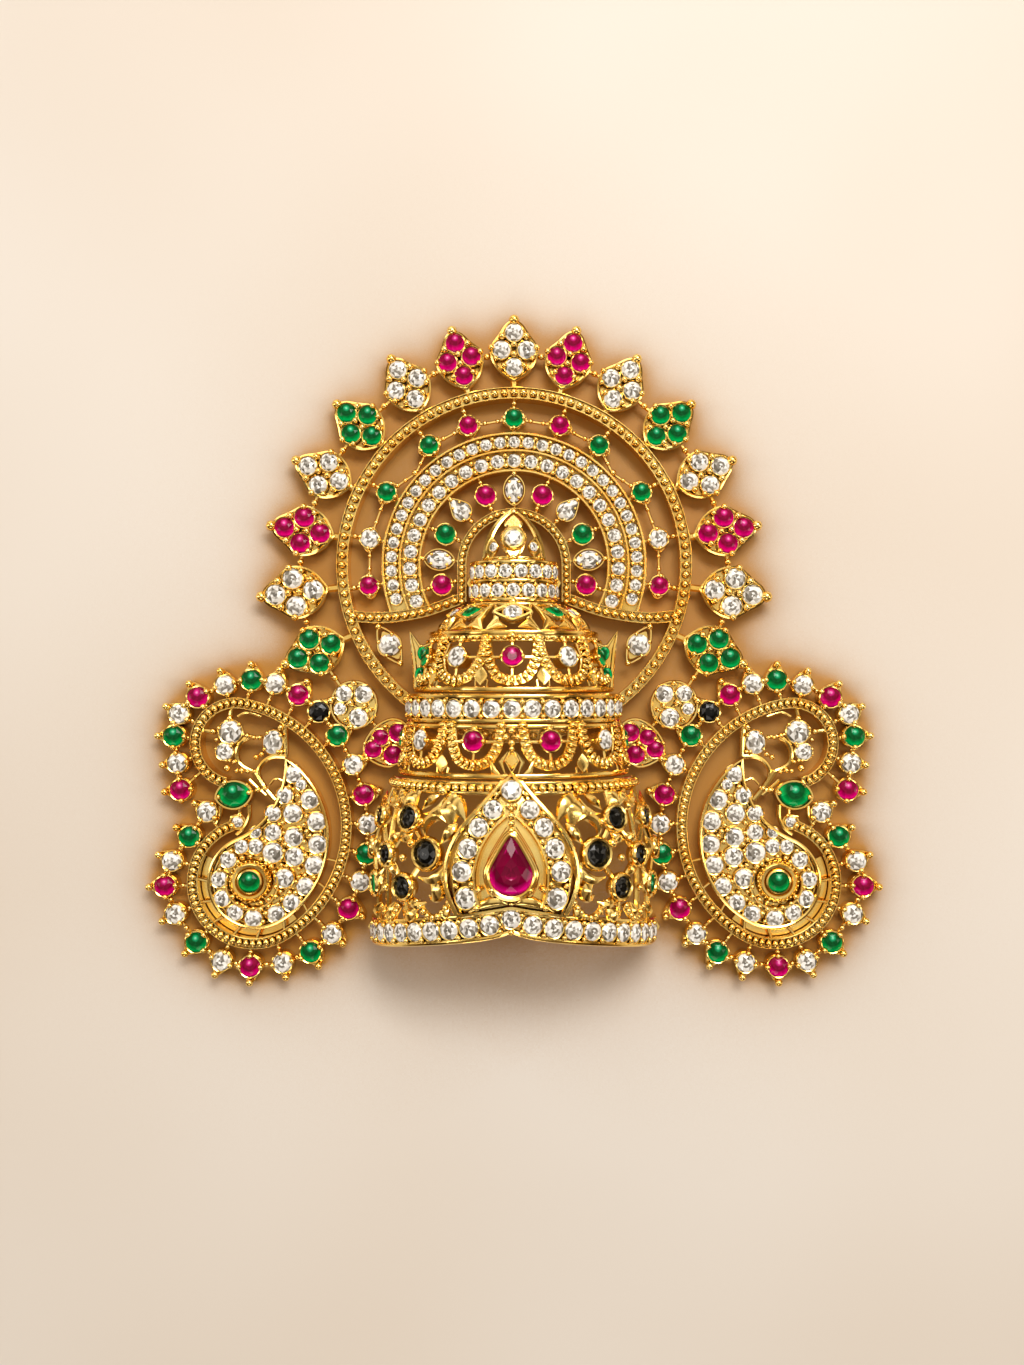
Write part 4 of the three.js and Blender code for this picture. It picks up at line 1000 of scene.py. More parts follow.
ball(collarBench, domePoint(13.7, 0, 2.5), 0.85)
ball(collarBench, domePoint(8.4, 0, 8.2), 0.7)
finishGold("collar", "collar")
finishStones("collar")

# The two galleries: stones hung in beaded loops between an upper and a lower rail.
gallery = {
    "loop": [(-4.15, 2.5), (-4.0, 0.9), (-3.55, -1.0), (-2.4, -2.9), (0, -3.75), (2.4, -2.9), (3.55, -1.0),
             (4.0, 0.9), (4.15, 2.5)],
    "hang": 3.6, "ribbon": (0.9, -0.6, 0.05, (0.15, 0.15)), "bead": 0.46, "pitch": 1.06, "wide": 1.95,
    "stone": 1.66, "heart": [(-0.9, -0.4), (-1.0, 0.8), (0, 2.1), (1.0, 0.8), (0.9, -0.4)], "topRail": 0.42,
    "footRail": 0.5, "pin": 0.3, "drops": [(0.3, 0.55), (0.45, 0.62), (0.5, 0.55)],
    "upper": [(0, "ruby"), (36, "white"), (71, "emerald")],
    "lower": [(19.2, "ruby"), (53.3, "white"), (84, "emerald")],
}


def galleryTier(name, tier, seats, y):
    bm = benches[name]
    rail(bm, radiusAt(tier, tier["bottom"] + 0.4) + 0.1, tier["bottom"] + 0.5, gallery["footRail"])
    rail(bm, radiusAt(tier, tier["top"] - 0.3), tier["top"] - 0.3, gallery["topRail"])
    for angle, kind in bothSides(seats):
        path = onSkin(tier, angle, y, smoothRun(gallery["loop"]), 0.1)
        sweep(bm, strip(*gallery["ribbon"]), path)
        beadRun(bm, path, gallery["bead"], gallery["pitch"], 0.3, gallery["wide"])
        tierStone(name, kind, tier, angle, y, gallery["stone"], 0.6, "thin", (0, 180))
        near, top = [skinPoint(tier, angle, up, 0.2)[0] for up in (y + gallery["stone"], tier["top"] - 0.5)]
        post(bm, near, top, gallery["pin"], 0.52, 0.6)
        near, foot = [skinPoint(tier, angle, y - drop)[0] for drop in (gallery["stone"], gallery["hang"])]
        post(bm, near, foot, gallery["pin"])
        for side in (-1, 1):
            inside = onSkin(tier, angle, y, [(side * 1.7, 0), (side * 3.1, 0)])
            wire(bm, inside, gallery["pin"])
            ball(bm, inside[0][0] + inside[0][1] * 0.5, 0.36)


def heartLeaf(bm, tier, angle, y, size=3.0):
    stamp(bm, cupLeafShape, skinPlace(tier, angle, y, 0.1, 0, size))
    wire(bm, onSkin(tier, angle, y, gallery["heart"]), 0.2)
    for side in (1, -1):
        skinBall(bm, tier, angle + side * 2.2, y - 0.35, 0.1, 0.34)


def dropBalls(bm, tier, angle, heights):
    for y, (out, size) in zip(heights, gallery["drops"]):
        skinBall(bm, tier, angle, y, out, size)


# Flared leaves at the sides of the upper gallery carry two small emeralds each.
flare = {
    "outline": [(13.4, 1.6), (15.3, 0.9), (17.0, 3.4), (16.5, 0.4), (16.2, -2.6), (16.1, -5.8),
                (14.8, -5.8), (14.3, -2.6), (13.6, -0.6)],
    "low": 6.4, "high": 7.2, "wire": 0.36, "stones": [(14.9, -0.2, 78), (15.35, -3.6, 88)], "stone": 0.92,
    "girdle": 7.5,
}
tier = tiers["upper"]
upperBench = benches["upper_gallery"]
galleryTier("upper_gallery", tier, gallery["upper"], -0.9)
for side in (1, -1):
    for angle in (18, 54):
        heartLeaf(upperBench, tier, side * angle, -5.4)
        dropBalls(upperBench, tier, side * angle, (2.1, 1.0, 0.0))
    outline = sided(side, flare["outline"])
    plate(upperBench, outline, flare["low"], flare["high"])
    wire(upperBench, flatPath(outline, flare["high"]), flare["wire"], closed=True)
    for x, y, turn in flare["stones"]:
        place = at((side * x, y, flare["girdle"]), flare["stone"], side * turn)
        setStone("upper_gallery", "emerald", place, "marquise")
        claws(upperBench, place, (0, 180), 0.3, 1.4, 0.0)
finishGold("upper_gallery", "upper_gallery")
finishStones("upper_gallery", "upper_ruby")

# The lower gallery's middle has a bunch of balls over a pointed leaf.
bunch = {
    "balls": [(0, -12.4, 0.6), (-0.9, -13.4, 0.55), (0.9, -13.4, 0.55), (0, -14.3, 0.6), (0, -15.2, 0.5)],
    "leaves": [(0.5, 0.2, [(0.6, -15.6), (1.7, -17.3), (0.9, -19.4)]),
               (0.6, 0.1, [(1.4, -19.6), (2.8, -18.6), (3.4, -17.0)])],
    "diamond": [(0, 2.2), (1.0, 0.3), (0, -1.7), (-1.0, 0.3)], "diamondY": -17.3,
}
tier = tiers["lower"]
lowerBench = benches["lower_gallery"]
galleryTier("lower_gallery", tier, gallery["lower"], -14.1)
for side in (1, -1):
    for angle in (36.2, 69):
        heartLeaf(lowerBench, tier, side * angle, -19.1)
    for width, out, drawn in bunch["leaves"]:
        blade(lowerBench, onSkin(tier, 0, 0, sided(side, drawn), out), width)
    dropBalls(lowerBench, tier, side * 36.2, (-12.2, -13.3, -14.3))
for x, y, size in bunch["balls"]:
    ball(lowerBench, onSkin(tier, 0, y, [(x, 0)], 0.5)[0][0], size)
wire(lowerBench, onSkin(tier, 0, bunch["diamondY"], bunch["diamond"], 0.3), 0.24, closed=True)
stamp(lowerBench, petalShape, skinPlace(tier, 0, -18.3, 0.1, 0, 2.6))
finishGold("lower_gallery", "lower_gallery")
finishStones("lower_gallery", "lower_ruby_right", "lower_ruby_left")

# The middle band.
middleBand = {"y": -9.0, "stone": 1.42, "pitch": 10.6, "reach": 88, "radius": 17.1, "wall": 1.2,
              "railRadius": 17.4, "rail": 0.42}
tier = tiers["middle"]
middleBench = benches["middle_band"]
bed(middleBench, middleBand["radius"], tier["bottom"] + 0.2, tier["top"] - 0.2, middleBand["wall"])
for y in (tier["top"] - 0.3, tier["bottom"] + 0.3):
    rail(middleBench, middleBand["railRadius"], y, middleBand["rail"])
bandStones("middle_band", tier, middleBand)
finishGold("middle_band", "middle_band")
finishStones("middle_band")

# The base: a bellied gallery with its front leaf.
base = {
    "edge": [(0, -18.9), (2.9, -22.4), (5.6, -25.4), (7.8, -28.2), (9.2, -31.2), (9.7, -34.8), (9.0, -37.9),
             (7.9, -40.3)],
    "edgeRim": (0.375, -1.2, 1.25, (0.2, 0.25), 0.025), "lipRim": (0.325, -1.0, 0.75, (0.2, 0.25), 0.025),
    "ring": [(0, -21.8, 1.62), (2.7, -24.6, 1.5), (4.75, -27.2, 1.5), (6.3, -30.3, 1.55), (7.2, -33.7, 1.6),
             (6.6, -37.7, 1.65)],
    "plateTop": -19.6, "plateFoot": -39.6, "plateThick": 0.6, "pearY": -34.0, "pear": 3.3,
    "pearRims": [(0.36, 1.06, 1.08, 0), (0.5, 1.1, 1.14, -0.16)],
    "lip": [(0.75, -25.6), (2.6, -27.4), (4.2, -29.9), (5.1, -32.6), (5.3, -34.8), (5.05, -36.9),
            (4.5, -39.0)],
    "throat": [(0.5, -27.2), (1.9, -29.4), (3.0, -31.4), (3.65, -33.6), (3.6, -35.6), (2.8, -37.2),
               (1.4, -38.3)],
    "footLeaf": [(0.6, -38.5), (2.2, -38.0), (4.0, -38.5), (6.2, -39.8)],
    "leafBalls": [(0, -24.5, 0.42), (0, -25.5, 0.62), (0, -26.6, 0.55), (0, -27.6, 0.5), (2.75, -36.3, 0.6),
                  (4.6, -36.3, 0.5), (4.9, -39.0, 0.5)],
    "stones": [("dark", 34.3, -31.4, 1.95), ("dark", 46, -26.3, 1.65), ("dark", 46, -36.8, 1.65),
               ("dark", 59, -32.2, 1.5), ("dark", 71, -26.6, 1.4), ("dark", 82, -31.9, 1.4),
               ("emerald", 70, -37.2, 1.3)],
    # bars of the lattice run between seats, which are an angle and a height
    "seats": {"a": (34.3, -31.4), "b": (46, -26.3), "c": (46, -36.8), "d": (59, -32.2), "e": (71, -26.6),
              "f": (70, -37.2), "g": (82, -31.9), "h": (46, -22), "i": (71, -22), "j": (46, -43),
              "k": (70, -43), "l": (27, -33), "m": (59, -22), "n": (59, -43)},
    "bars": ["ab", "ac", "bd", "cd", "de", "df", "eg", "fg", "bh", "ei", "cj", "fk", "al", "dm", "dn"],
    # leaves by their half-width, each drawn from the front
    "blades": [
        (1.36, [(10.0, -22.3), (8.7, -23.2), (7.7, -24.8), (6.9, -26.4)]),
        (1.955, [(9.7, -22.6), (9.4, -24.6), (9.1, -27.4)]),
        (0.935, [(10.2, -22.8), (10.8, -24.6), (12.0, -25.3), (13.6, -25.4)]),
        (0.714, [(11.0, -22.4), (12.4, -23.4), (13.8, -24.8)]),
        (1.02, [(8.2, -26.6), (9.4, -28.0), (10.8, -29.8)]),
        (0.85, [(9.8, -26.6), (11.2, -25.7), (12.6, -26.4), (13.3, -27.8), (13.0, -29.2)]),
        (1.445, [(15.9, -21.9), (15.6, -23.2), (15.0, -24.6)]),
        (0.85, [(17.2, -22.2), (16.9, -23.2), (16.4, -24.6)]),
        (1.275, [(12.4, -35.4), (11.5, -36.2), (11.1, -37.2), (11.8, -38.1), (12.6, -37.7)]),
        (1.02, [(9.9, -32.6), (10.7, -34.4), (12.4, -35.4), (14.4, -35.0)]),
        (0.85, [(9.4, -39.2), (10.2, -40.6), (11.2, -41.4)]),
        (1.19, [(14.4, -39.8), (15.6, -41.2), (17.0, -40.6)]),
        (0.935, [(17.6, -25.2), (18.6, -23.8), (19.0, -22.2)]),
        (0.85, [(17.2, -28.6), (18.3, -29.6), (19.2, -31.0)]),
        (0.85, [(17.8, -35.2), (18.7, -34.0), (19.4, -33.2)]),
        (0.935, [(18.2, -39.4), (18.9, -41.2), (20.2, -42.2)]),
        (0.85, [(19.4, -26.4), (20.3, -24.8), (20.5, -22.8)]),
        (0.85, [(20.2, -34.6), (21.0, -36.6), (20.9, -38.8)]),
        (0.765, [(21.0, -29.6), (21.6, -31.6), (21.4, -33.6)]),
        (0.85, [(13.0, -38.8), (14.2, -39.4), (15.4, -39.0), (16.2, -39.8)]),
        (0.85, [(15.2, -28.3), (16.2, -29.4), (17.6, -29.4)]),
        (0.765, [(20.6, -40.0), (21.4, -41.6), (21.2, -43.0)]),
    ],
    "swags": [[(9.4, -38.6), (10.2, -39.9), (11.3, -41.0), (12.5, -41.0), (13.5, -40.1), (14.4, -38.8)],
              [(17.4, -39.8), (18.4, -41.8), (19.4, -42.0), (20.2, -40.6)]],
    "balls": [(10.4, -21.9, 0.7975), (15.2, -30.0, 0.7975), (16.6, -32.3, 0.6525), (13.6, -26.6, 0.58),
              (17.8, -24.6, 0.609), (15.6, -40.9, 0.609), (19.6, -37.4, 0.609)],
}
tier = tiers["base"]
baseBench = benches["base_gallery"]
bed(baseBench, 19.7, -22.1, -20.4, 1.3)
rail(baseBench, 19.9, -20.5, 0.32)
rail(baseBench, 20.0, -22.0, 0.32)
beadedRing(baseBench, 20.15, -21.25, 0.66, 1.35, 88)


def drawnRun(side, points, out, steps=3):
    return onFront(tier, sided(side, smoothRun(points, steps)), out)


frontEdge = smoothRun(base["edge"])
leafRun = [*sided(-1, reversed(frontEdge[1:])), *sided(1, frontEdge)]
sweep(baseBench, strip(*base["edgeRim"]), onFront(tier, leafRun, 0.5))
wire(baseBench, onFront(tier, [(x * 0.88, y - 0.8) for x, y in leafRun[1:-1]], 1.1), 0.26)

# The plate under the front leaf's stones widens as the leaf does.
leafPlate = bmesh.new()
bmesh.ops.create_grid(leafPlate, x_segments=14, y_segments=16, size=1)
for vert in leafPlate.verts:
    u, share = vert.co.x, (1 - vert.co.y) / 2
    y = base["plateTop"] + (base["plateFoot"] - 1.7 * abs(u) - base["plateTop"]) * share
    if y > -34.5:
        half = max(edgeX for edgeX, edgeY in frontEdge if base["plateTop"] >= edgeY >= y - 0.7)
    else:
        half = frontEdge[-1].x + (y + 40.3) * 0.22
    vert.co = onFront(tier, [(u * half, y)], 0.55)[0][0]
bmesh.ops.recalc_face_normals(leafPlate, faces=leafPlate.faces)
bmesh.ops.solidify(leafPlate, geom=leafPlate.faces[:], thickness=base["plateThick"])
pour(baseBench, leafPlate)
for x, y, radius in base["ring"]:
    for u in ((x, -x) if x else (0,)):
        tierStone("front_leaf", "white", tier, math.degrees(math.asin(u / radiusAt(tier, y))), y, radius,
                  1.35, "low")
ringRun = [(x, y) for x, y, radius in base["ring"]]
ringRun = [*sided(-1, reversed(ringRun[1:])), *ringRun]
for (x0, y0), (x1, y1) in zip(ringRun, ringRun[1:]):
    for offset in (-1.15, 1.15):
        across = Vector((y0 - y1, x1 - x0)).normalized() * offset
        frontBall(baseBench, tier, (x0 + x1) / 2 + across.x, (y0 + y1) / 2 + across.y, 1.5, 0.5)

# The pear stone, its lip and the smooth channel that opens down to the foot band.
pearPlace = skinPlace(tier, 0, base["pearY"], 1.9, 90, base["pear"])
setStone("front_pear", "crimson", pearPlace, "pear")
for thick, along, across, z in base["pearRims"]:
    wire(baseBench, rimPath(pearPlace, dropOutline(1.74, 0, 40), along, across, z), thick, 8, closed=True)
for side in (1, -1):
    sweep(baseBench, strip(*base["lipRim"]), drawnRun(side, base["lip"], 1.1, 4))
    wire(baseBench, drawnRun(side, base["throat"], 1.0, 4), 0.3)
    # a rim over the band, and a leaf that turns out from under the pear
    wire(baseBench, onFront(tier, [(side * x, -39.0 - 0.19 * x) for x in (0, 2, 4, 6, 8)], 1.0), 0.36)
    blade(baseBench, drawnRun(side, base["footLeaf"], 1.1), 0.75, 0.7)
for x, y, size in base["leafBalls"]:
    for u in ((x, -x) if x else (0,)):
        frontBall(baseBench, tier, u, y, 1.9, size)

# Dark stones in round bezels among leaves and scrolls.
for side in (1, -1):
    for kind, angle, y, radius in base["stones"]:
        tierStone("base_gallery", kind, tier, side * angle, y, radius, 0.9, "bezel", (),
                  "round" if kind == "dark" else "oval", 90)
    for start, end in base["bars"]:
        (angle0, y0), (angle1, y1) = base["seats"][start], base["seats"][end]
        shares = [i / 4 for i in range(5)]
        run = [skinPoint(tier, side * (angle0 + (angle1 - angle0) * share), y0 + (y1 - y0) * share, 0.1)
               for share in shares]
        wire(baseBench, run, 0.5, 7)
    for width, drawn in base["blades"]:
        blade(baseBench, drawnRun(side, drawn, 0.3), width, 0.95)
    for drawn in base["swags"]:
        swag = drawnRun(side, drawn, 0.3)
        wire(baseBench, swag, 0.55)
        beadRun(baseBench, swag, 0.44, 1.0, 0.4, 1.3)
    for x, y, radius in base["balls"]:
        frontBall(baseBench, tier, side * x, y, 0.7, radius)

# The foot band rises in a low swell to a cusp at the front.
foot = {
    "cusp": 1.6, "spread": 9, "swell": 3.0, "peak": 4.6, "y": -45.45, "stone": 1.5, "pitch": 8.1,
    "reach": 86, "radius": 22.8, "railRadius": 23.15, "rail": 0.4, "rib": 1.6, "ribAt": (22.6, -45.4),
}


def cuspLift(angle):
    return foot["cusp"] * math.exp(-abs(angle) / foot["spread"]) + foot["swell"] * cosine(angle) ** 2


tier = tiers["foot"]
footBench = benches["foot_band"]
bed(footBench, foot["radius"], tier["bottom"] + 0.2, tier["top"] - 0.2, lift=cuspLift)
for y in (tier["top"] - 0.3, tier["bottom"] + 0.3):
    rail(footBench, foot["railRadius"], y, foot["rail"], cuspLift, 120)
bandStones("foot_band", tier, foot, cuspLift)
for side in (1, -1):
    x, y = foot["ribAt"]
    post(footBench, (side * x, y, 0.1), (side * x, y, dome["spring"] + 0.4), foot["rib"])
for y, size in ((tier["top"], 0.62), (tier["bottom"], 0.5)):
    ball(footBench, domePoint(23.4, 0, y + foot["peak"] + 0.1), size)
finishGold("base_gallery", "base_gallery")
finishStones("base_gallery")
finishGold("front_leaf")
finishStones("front_leaf")
finishStones("front_pear", "front_pear_stone")
finishGold("foot_band", "base_band")
finishStones("foot_band")
print("dome made")

# The wings, drawn for the right-hand side: a beaded frame that curls round the mango.
wing = {
    "start": (46.6, -15.1, -75), "arcs": [(6.8, 100), (21, 240), (10.2, 430)], "width": 1.8, "height": 3.6,
    "rim": (0.22, 0.55), "bead": 0.5, "pitch": 1.14, "wide": 1.4, "stone": 1.78, "girdle": 3.2,
    "colours": ["ruby", "white", "emerald", "white"],
    "border": [(55.9, -22.9), (56.2, -10.2), (44.0, -4.5), (32.7, -9.8), (25.2, -23.7), (25.8, -38.3),
               (34.1, -50.1), (49.1, -51.6), (58.5, -39.0), (51.5, -26.6)],
    "count": 28, "darkSeat": 9, "cup": [(x * 1.12, y * 1.12) for x, y in dropOutline(1.55, 0, 22)],
}


def wingPath(offset, steps, share=(0, 1)):
    x, y, start = wing["start"]
    spans = []
    for i, (radius, end) in enumerate(wing["arcs"]):
        spans.append((x, y, radius + offset, start, math.radians(end - start) * (radius + offset)))
        if i + 1 < len(wing["arcs"]):
            change = radius - wing["arcs"][i + 1][0]
            x, y, start = x + change * cosine(end), y + change * sine(end), end
    total = sum(span[-1] for span in spans)
    path = []
    for i in range(steps + 1):
        left = total * (share[0] + (share[1] - share[0]) * i / steps)
        for x, y, radius, start, length in spans:
            if left <= length + 1e-6:
                break
            left -= length
        angle = start + math.degrees(left / radius)
        path.append((x + radius * cosine(angle), y + radius * sine(angle)))
    return path


frameBench = benches["wing_frame"]
framePath = flatPath(wingPath(0, 110))
sweep(frameBench, bandProfile(wing["width"], 0, wing["height"], *wing["rim"]), framePath)
beadRun(frameBench, framePath, wing["bead"], wing["pitch"], wing["height"] + 0.06, wing["wide"])

# Stones round the wing, each in a cup with a point and a ball outwards.
borderCurve = smoothRun([(x, y, 0) for x, y in wing["border"]], 30)
seatStep = (len(borderCurve) - 1) / (wing["count"] - 1)
borderSeats = [borderCurve[round(i * seatStep)] for i in range(wing["count"])]
frameSpots = [p for p, up in flatPath(wingPath(0, 220))]
borderBench = benches["wing_border"]
for i, seat in enumerate(borderSeats):
    along = borderSeats[min(i + 1, len(borderSeats) - 1)] - borderSeats[max(i - 1, 0)]
    kind = "dark" if i == wing["darkSeat"] else wing["colours"][i % 4]
    spot = seat + flatUp * wing["girdle"]
    radius = wing["stone"] * (0.93 if kind == "white" else 1.0)
    turned = at(spot, radius, math.degrees(math.atan2(-along.x, along.y)))
    mount(borderBench, "wing_border", kind, at(spot, radius), "thin", seat=turned)
    plate(borderBench, wing["cup"], -1.75, -0.5, 0.06, turned)
    ball(borderBench, turned @ Vector((1.5, 0, -0.02)), 0.68)
    claws(borderBench, turned, (90, 270, 180), 0.29)
    nearest = min(frameSpots, key=lambda p: (p - seat).length)
    post(borderBench, seat.lerp(nearest, 0.3) + flatUp * 2.6, nearest + flatUp * 2.6, 0.32, 0.46, 0.45)
    if i + 1 < len(borderSeats):
        ball(borderBench, seat.lerp(borderSeats[i + 1], 0.5) + flatUp * 2.7, 0.48)
        post(borderBench, seat + flatUp * 2.4, borderSeats[i + 1] + flatUp * 2.4, 0.3)
finishGold("wing_border", "wing_border", pair=True)
finishStones("wing_border", pair=True)

# The mango: three circles set its outline, and each stone is a place and a radius.
mango = {
    "cheek": (43.42, -38.27, 8.0), "back": (47.0, -31.0, 16.1), "hollow": (51.4, -18.95, 12.9), "bed": 2.3,
    "rim": 0.36, "rimHeight": 3.14, "wall": (0.2, 0.1, 3.2), "inset": 0.3, "stones": [
        (36.9, -20.25, 1.5), (38.4, -23.8, 1.4), (35.7, -22.0, 0.95), (34.2, -24.5, 1.6),
        (40.4, -26.85, 1.35), (37.1, -26.85, 1.6), (33.1, -28.2, 1.6), (43.35, -30.0, 1.0),
        (40.4, -30.0, 1.4), (36.95, -30.8, 1.6), (32.9, -32.0, 1.6), (45.7, -32.4, 1.2), (43.3, -32.4, 1.3),
        (40.4, -33.4, 1.75), (36.8, -34.1, 1.6), (33.5, -35.5, 1.6), (47.9, -34.6, 1.4), (49.4, -37.9, 1.4),
        (48.9, -41.1, 1.4), (46.8, -43.5, 1.4), (43.7, -44.5, 1.5), (39.9, -43.65, 1.5),
        (37.25, -41.8, 1.5), (35.0, -39.05, 1.5), (38.5, -37.7, 1.6),
    ],
    "girdle": 3.15, "fill": 1600, "fillReach": ((30, 52), (-47, -15)), "fillGap": 0.86,
    "fillHeight": (0.85, 1.1), "fillBead": (0.42, 0.52),
    "eye": (44.2, -38.2, 3.75), "eyeStone": 1.78, "eyeRoom": 3.7, "eyeBeads": 28, "eyeBeadPath": 1.9,
    "eyeRing": [(0.98, 0.02), (1.02, 0.18), (1.16, 0.14), (1.24, -0.12), (1.38, 0.08), (1.6, 0.1),
                (1.8, -0.06), (1.9, -0.34), (2.0, -0.26), (2.08, -0.4), (2.08, -1.6), (0.7, -1.6),
                (0.9, -0.2)],
}


def mangoOutline(inset, steps=26):
    (cx, cy, cr), (bx, by, br), (hx, hy, hr) = mango["cheek"], mango["back"], mango["hollow"]
    toHollow = math.degrees(math.atan2(hy - cy, hx - cx))
    toBack = math.degrees(math.atan2(cy - by, cx - bx)) + 360
    outer, inner, reach = br - inset, hr + inset, math.hypot(hx - bx, hy - by)
    opening = math.acos((outer ** 2 + reach ** 2 - inner ** 2) / (2 * outer * reach))
    backRun = arc(bx, by, outer, toBack, math.degrees(math.atan2(hy - by, hx - bx) + opening), steps)
    tipX, tipY = backRun[-1]
    toTip = math.degrees(math.atan2(tipY - hy, tipX - hx)) % 360
    hollowRun = arc(hx, hy, inner, toTip, toHollow + 180, steps // 2)
    return [*arc(cx, cy, cr - inset, toHollow, toBack - 360, steps), *backRun[1:], *hollowRun[1:-1]]


mangoBench = benches["wing_mango"]
edge = mangoOutline(mango["inset"])
plate(mangoBench, edge, 0, mango["bed"], 0)
wire(mangoBench, flatPath(edge, mango["rimHeight"]), mango["rim"], 8, closed=True)
sweep(mangoBench, strip(*mango["wall"]), flatPath(edge), closed=True)
wire(mangoBench, flatPath(mangoOutline(0.9), mango["bed"] + 0.2), 0.2, closed=True)
for x, y, radius in mango["stones"]:
    mount(mangoBench, "wing_mango", "white", at((x, y, mango["girdle"]), radius))


def insideOutline(x, y, outline):
    inside = False
    for (x0, y0), (x1, y1) in zip(outline, outline[1:] + outline[:1]):
        if (y0 > y) != (y1 > y) and x < (x1 - x0) * (y - y0) / (y1 - y0) + x0:
            inside = not inside
    return inside


# Beads fill what the stones leave of the bed.
eyeX, eyeY = mango["eye"][:2]
blocked = [*mango["stones"], (eyeX, eyeY, mango["eyeRoom"])]
innerEdge = mangoOutline(1.0)
beads = []
for i in range(mango["fill"]):
    x, y = [roll.uniform(*reach) for reach in mango["fillReach"]]
    clear = min(math.hypot(x - sx, y - sy) - sr for sx, sy, sr in blocked)
    apart = all(math.hypot(x - bx, y - by) > mango["fillGap"] for bx, by in beads)
    if clear > 0.12 and apart and insideOutline(x, y, innerEdge):
        beads.append((x, y))
for x, y in beads:
    ball(mangoBench, (x, y, mango["bed"] + roll.uniform(*mango["fillHeight"])),
         roll.uniform(*mango["fillBead"]))

# The eye: a plain lip, a dished ring with beads round it, and an outer wire below.
eyePlace = at(mango["eye"], mango["eyeStone"])
setStone("wing_eye", "emerald", eyePlace)
lathe(mangoBench, mango["eyeRing"], 32, eyePlace)
for x, y in roundOutline(mango["eyeBeads"], mango["eyeBeadPath"]):
    ball(mangoBench, eyePlace @ Vector((x, y, -0.2)), 0.2)
wire(mangoBench, flatPath(arc(eyeX - 0.3, eyeY - 0.3, 4.35, 165, 372, 28), 3.3), 0.28)
finishGold("wing_mango", "wing_mango", pair=True)
finishStones("wing_mango", pair=True)
finishStones("wing_eye", pair=True)

# A polished gutter between the mango and the frame, with small ties over it.
gutter = {"section": (0.75, 0.3, 1.3, (0.2, 0.2)), "share": (0.66, 0.93), "offset": -1.6, "tieFrom": -0.7,
          "tieTo": -2.9, "tieHeight": 2.7, "ties": [0.53, 0.58, 0.63, 0.68, 0.73, 0.77, 0.81, 0.85, 0.89]}
sweep(frameBench, strip(*gutter["section"]), flatPath(wingPath(gutter["offset"], 90, gutter["share"])))
for share in gutter["ties"]:
    tie = [wingPath(offset, 1, (share, share))[0] for offset in (gutter["tieFrom"], gutter["tieTo"])]
    wire(frameBench, flatPath(tie, gutter["tieHeight"]), 0.26)

# The crest in the frame's head, and the neck wires down to the mango.
crest = {
    "girdle": 3.3, "stones": [(47.5, -13.2, 1.95), (48.5, -16.5, 1.45)], "oval": (40.4, -14.9, 3.4),
    "ovalStone": 1.6, "ovalTurn": 100,
    "beadHeight": 3.2, "beads": [
        (47.6, -10.9, 0.62), (48.1, -19.2, 0.66), (46.9, -18.2, 0.4), (45.6, -19.6, 0.5),
        (44.6, -19.8, 0.45), (46.5, -19.7, 0.42), (43.5, -19.8, 0.4), (39.1, -12.4, 0.6),
        (39.0, -16.5, 0.42), (42.3, -16.9, 0.5), (43.2, -17.4, 0.52), (42.6, -14.1, 0.45),
        (43.6, -14.1, 0.42), (44.7, -13.8, 0.5), (50.4, -13.1, 0.55), (49.9, -14.5, 0.4),
        (41.7, -22.6, 0.5), (42.9, -22.9, 0.5), (45.8, -27.2, 0.42), (47.7, -18.0, 0.36),
    ],
    "runHeight": 2.9, "runTaper": 0.75, "runs": [
        (0.52, [(44.4, -14.0), (45.9, -15.0), (46.5, -16.7), (46.1, -18.4), (44.8, -19.4), (43.2, -19.9)]),
        (0.34, [(42.2, -14.0), (43.6, -14.0), (45.4, -13.6)]),
        (0.5, [(38.5, -11.9), (38.3, -14.4), (38.2, -17.3)]),
        (0.5, [(38.4, -17.3), (40.4, -17.3), (42.0, -18.2), (42.9, -19.8), (42.4, -21.6)]),
        (0.62, [(43.6, -19.8), (42.5, -21.6), (41.3, -23.2), (40.1, -24.6)]),
        (0.36, [(44.4, -21.2), (43.2, -22.4), (41.6, -23.8)]),
        (0.3, [(43.4, -22.9), (42.2, -22.8), (41.2, -22.4)]),
        (0.5, [(50.0, -13.1), (51.0, -13.1), (52.2, -12.9)]),
        (0.45, [(47.6, -11.6), (47.5, -10.2), (47.3, -9.2)]),
        (0.42, [(44.4, -25.4), (44.4, -27.4), (45.2, -29.2), (46.6, -30.4)]),
        (0.36, [(49.2, -25.6), (49.3, -27.2), (49.9, -28.6)]),
        (0.3, [(46.0, -26.0), (46.2, -27.2), (47.6, -27.4)]),
        (0.26, [(38.8, -21.4), (40.0, -21.0), (41.0, -22.0)]),
        (0.3, [(42.4, -10.6), (44.8, -9.9), (46.4, -10.6)]),
    ],
    "leafStone": (46.4, -28.3, 3.0), "leafSize": 0.95, "leafRing": (1.3, 1.2),
    "marquise": (46.9, -23.7, 3.4), "marquiseStone": 2.05, "marquiseTurn": -8,
    "marquiseRim": almondOutline(1.5, 1.14, 28),
}
for x, y, radius in crest["stones"]:
    place = at((x, y, crest["girdle"]), radius)
    mount(frameBench, "wing_crest", "white", place, "thin")
    claws(frameBench, place, (20, 140, 260))
ovalPlace = at(crest["oval"], crest["ovalStone"], crest["ovalTurn"])
setStone("wing_crest", "white", ovalPlace, "oval")
plate(frameBench, [(x * 1.38, y * 1.14) for x, y in roundOutline(24)], -1.8, -0.1, 0.08, ovalPlace)
claws(frameBench, ovalPlace, (40, 140, 220, 320), 0.22, 1.12)
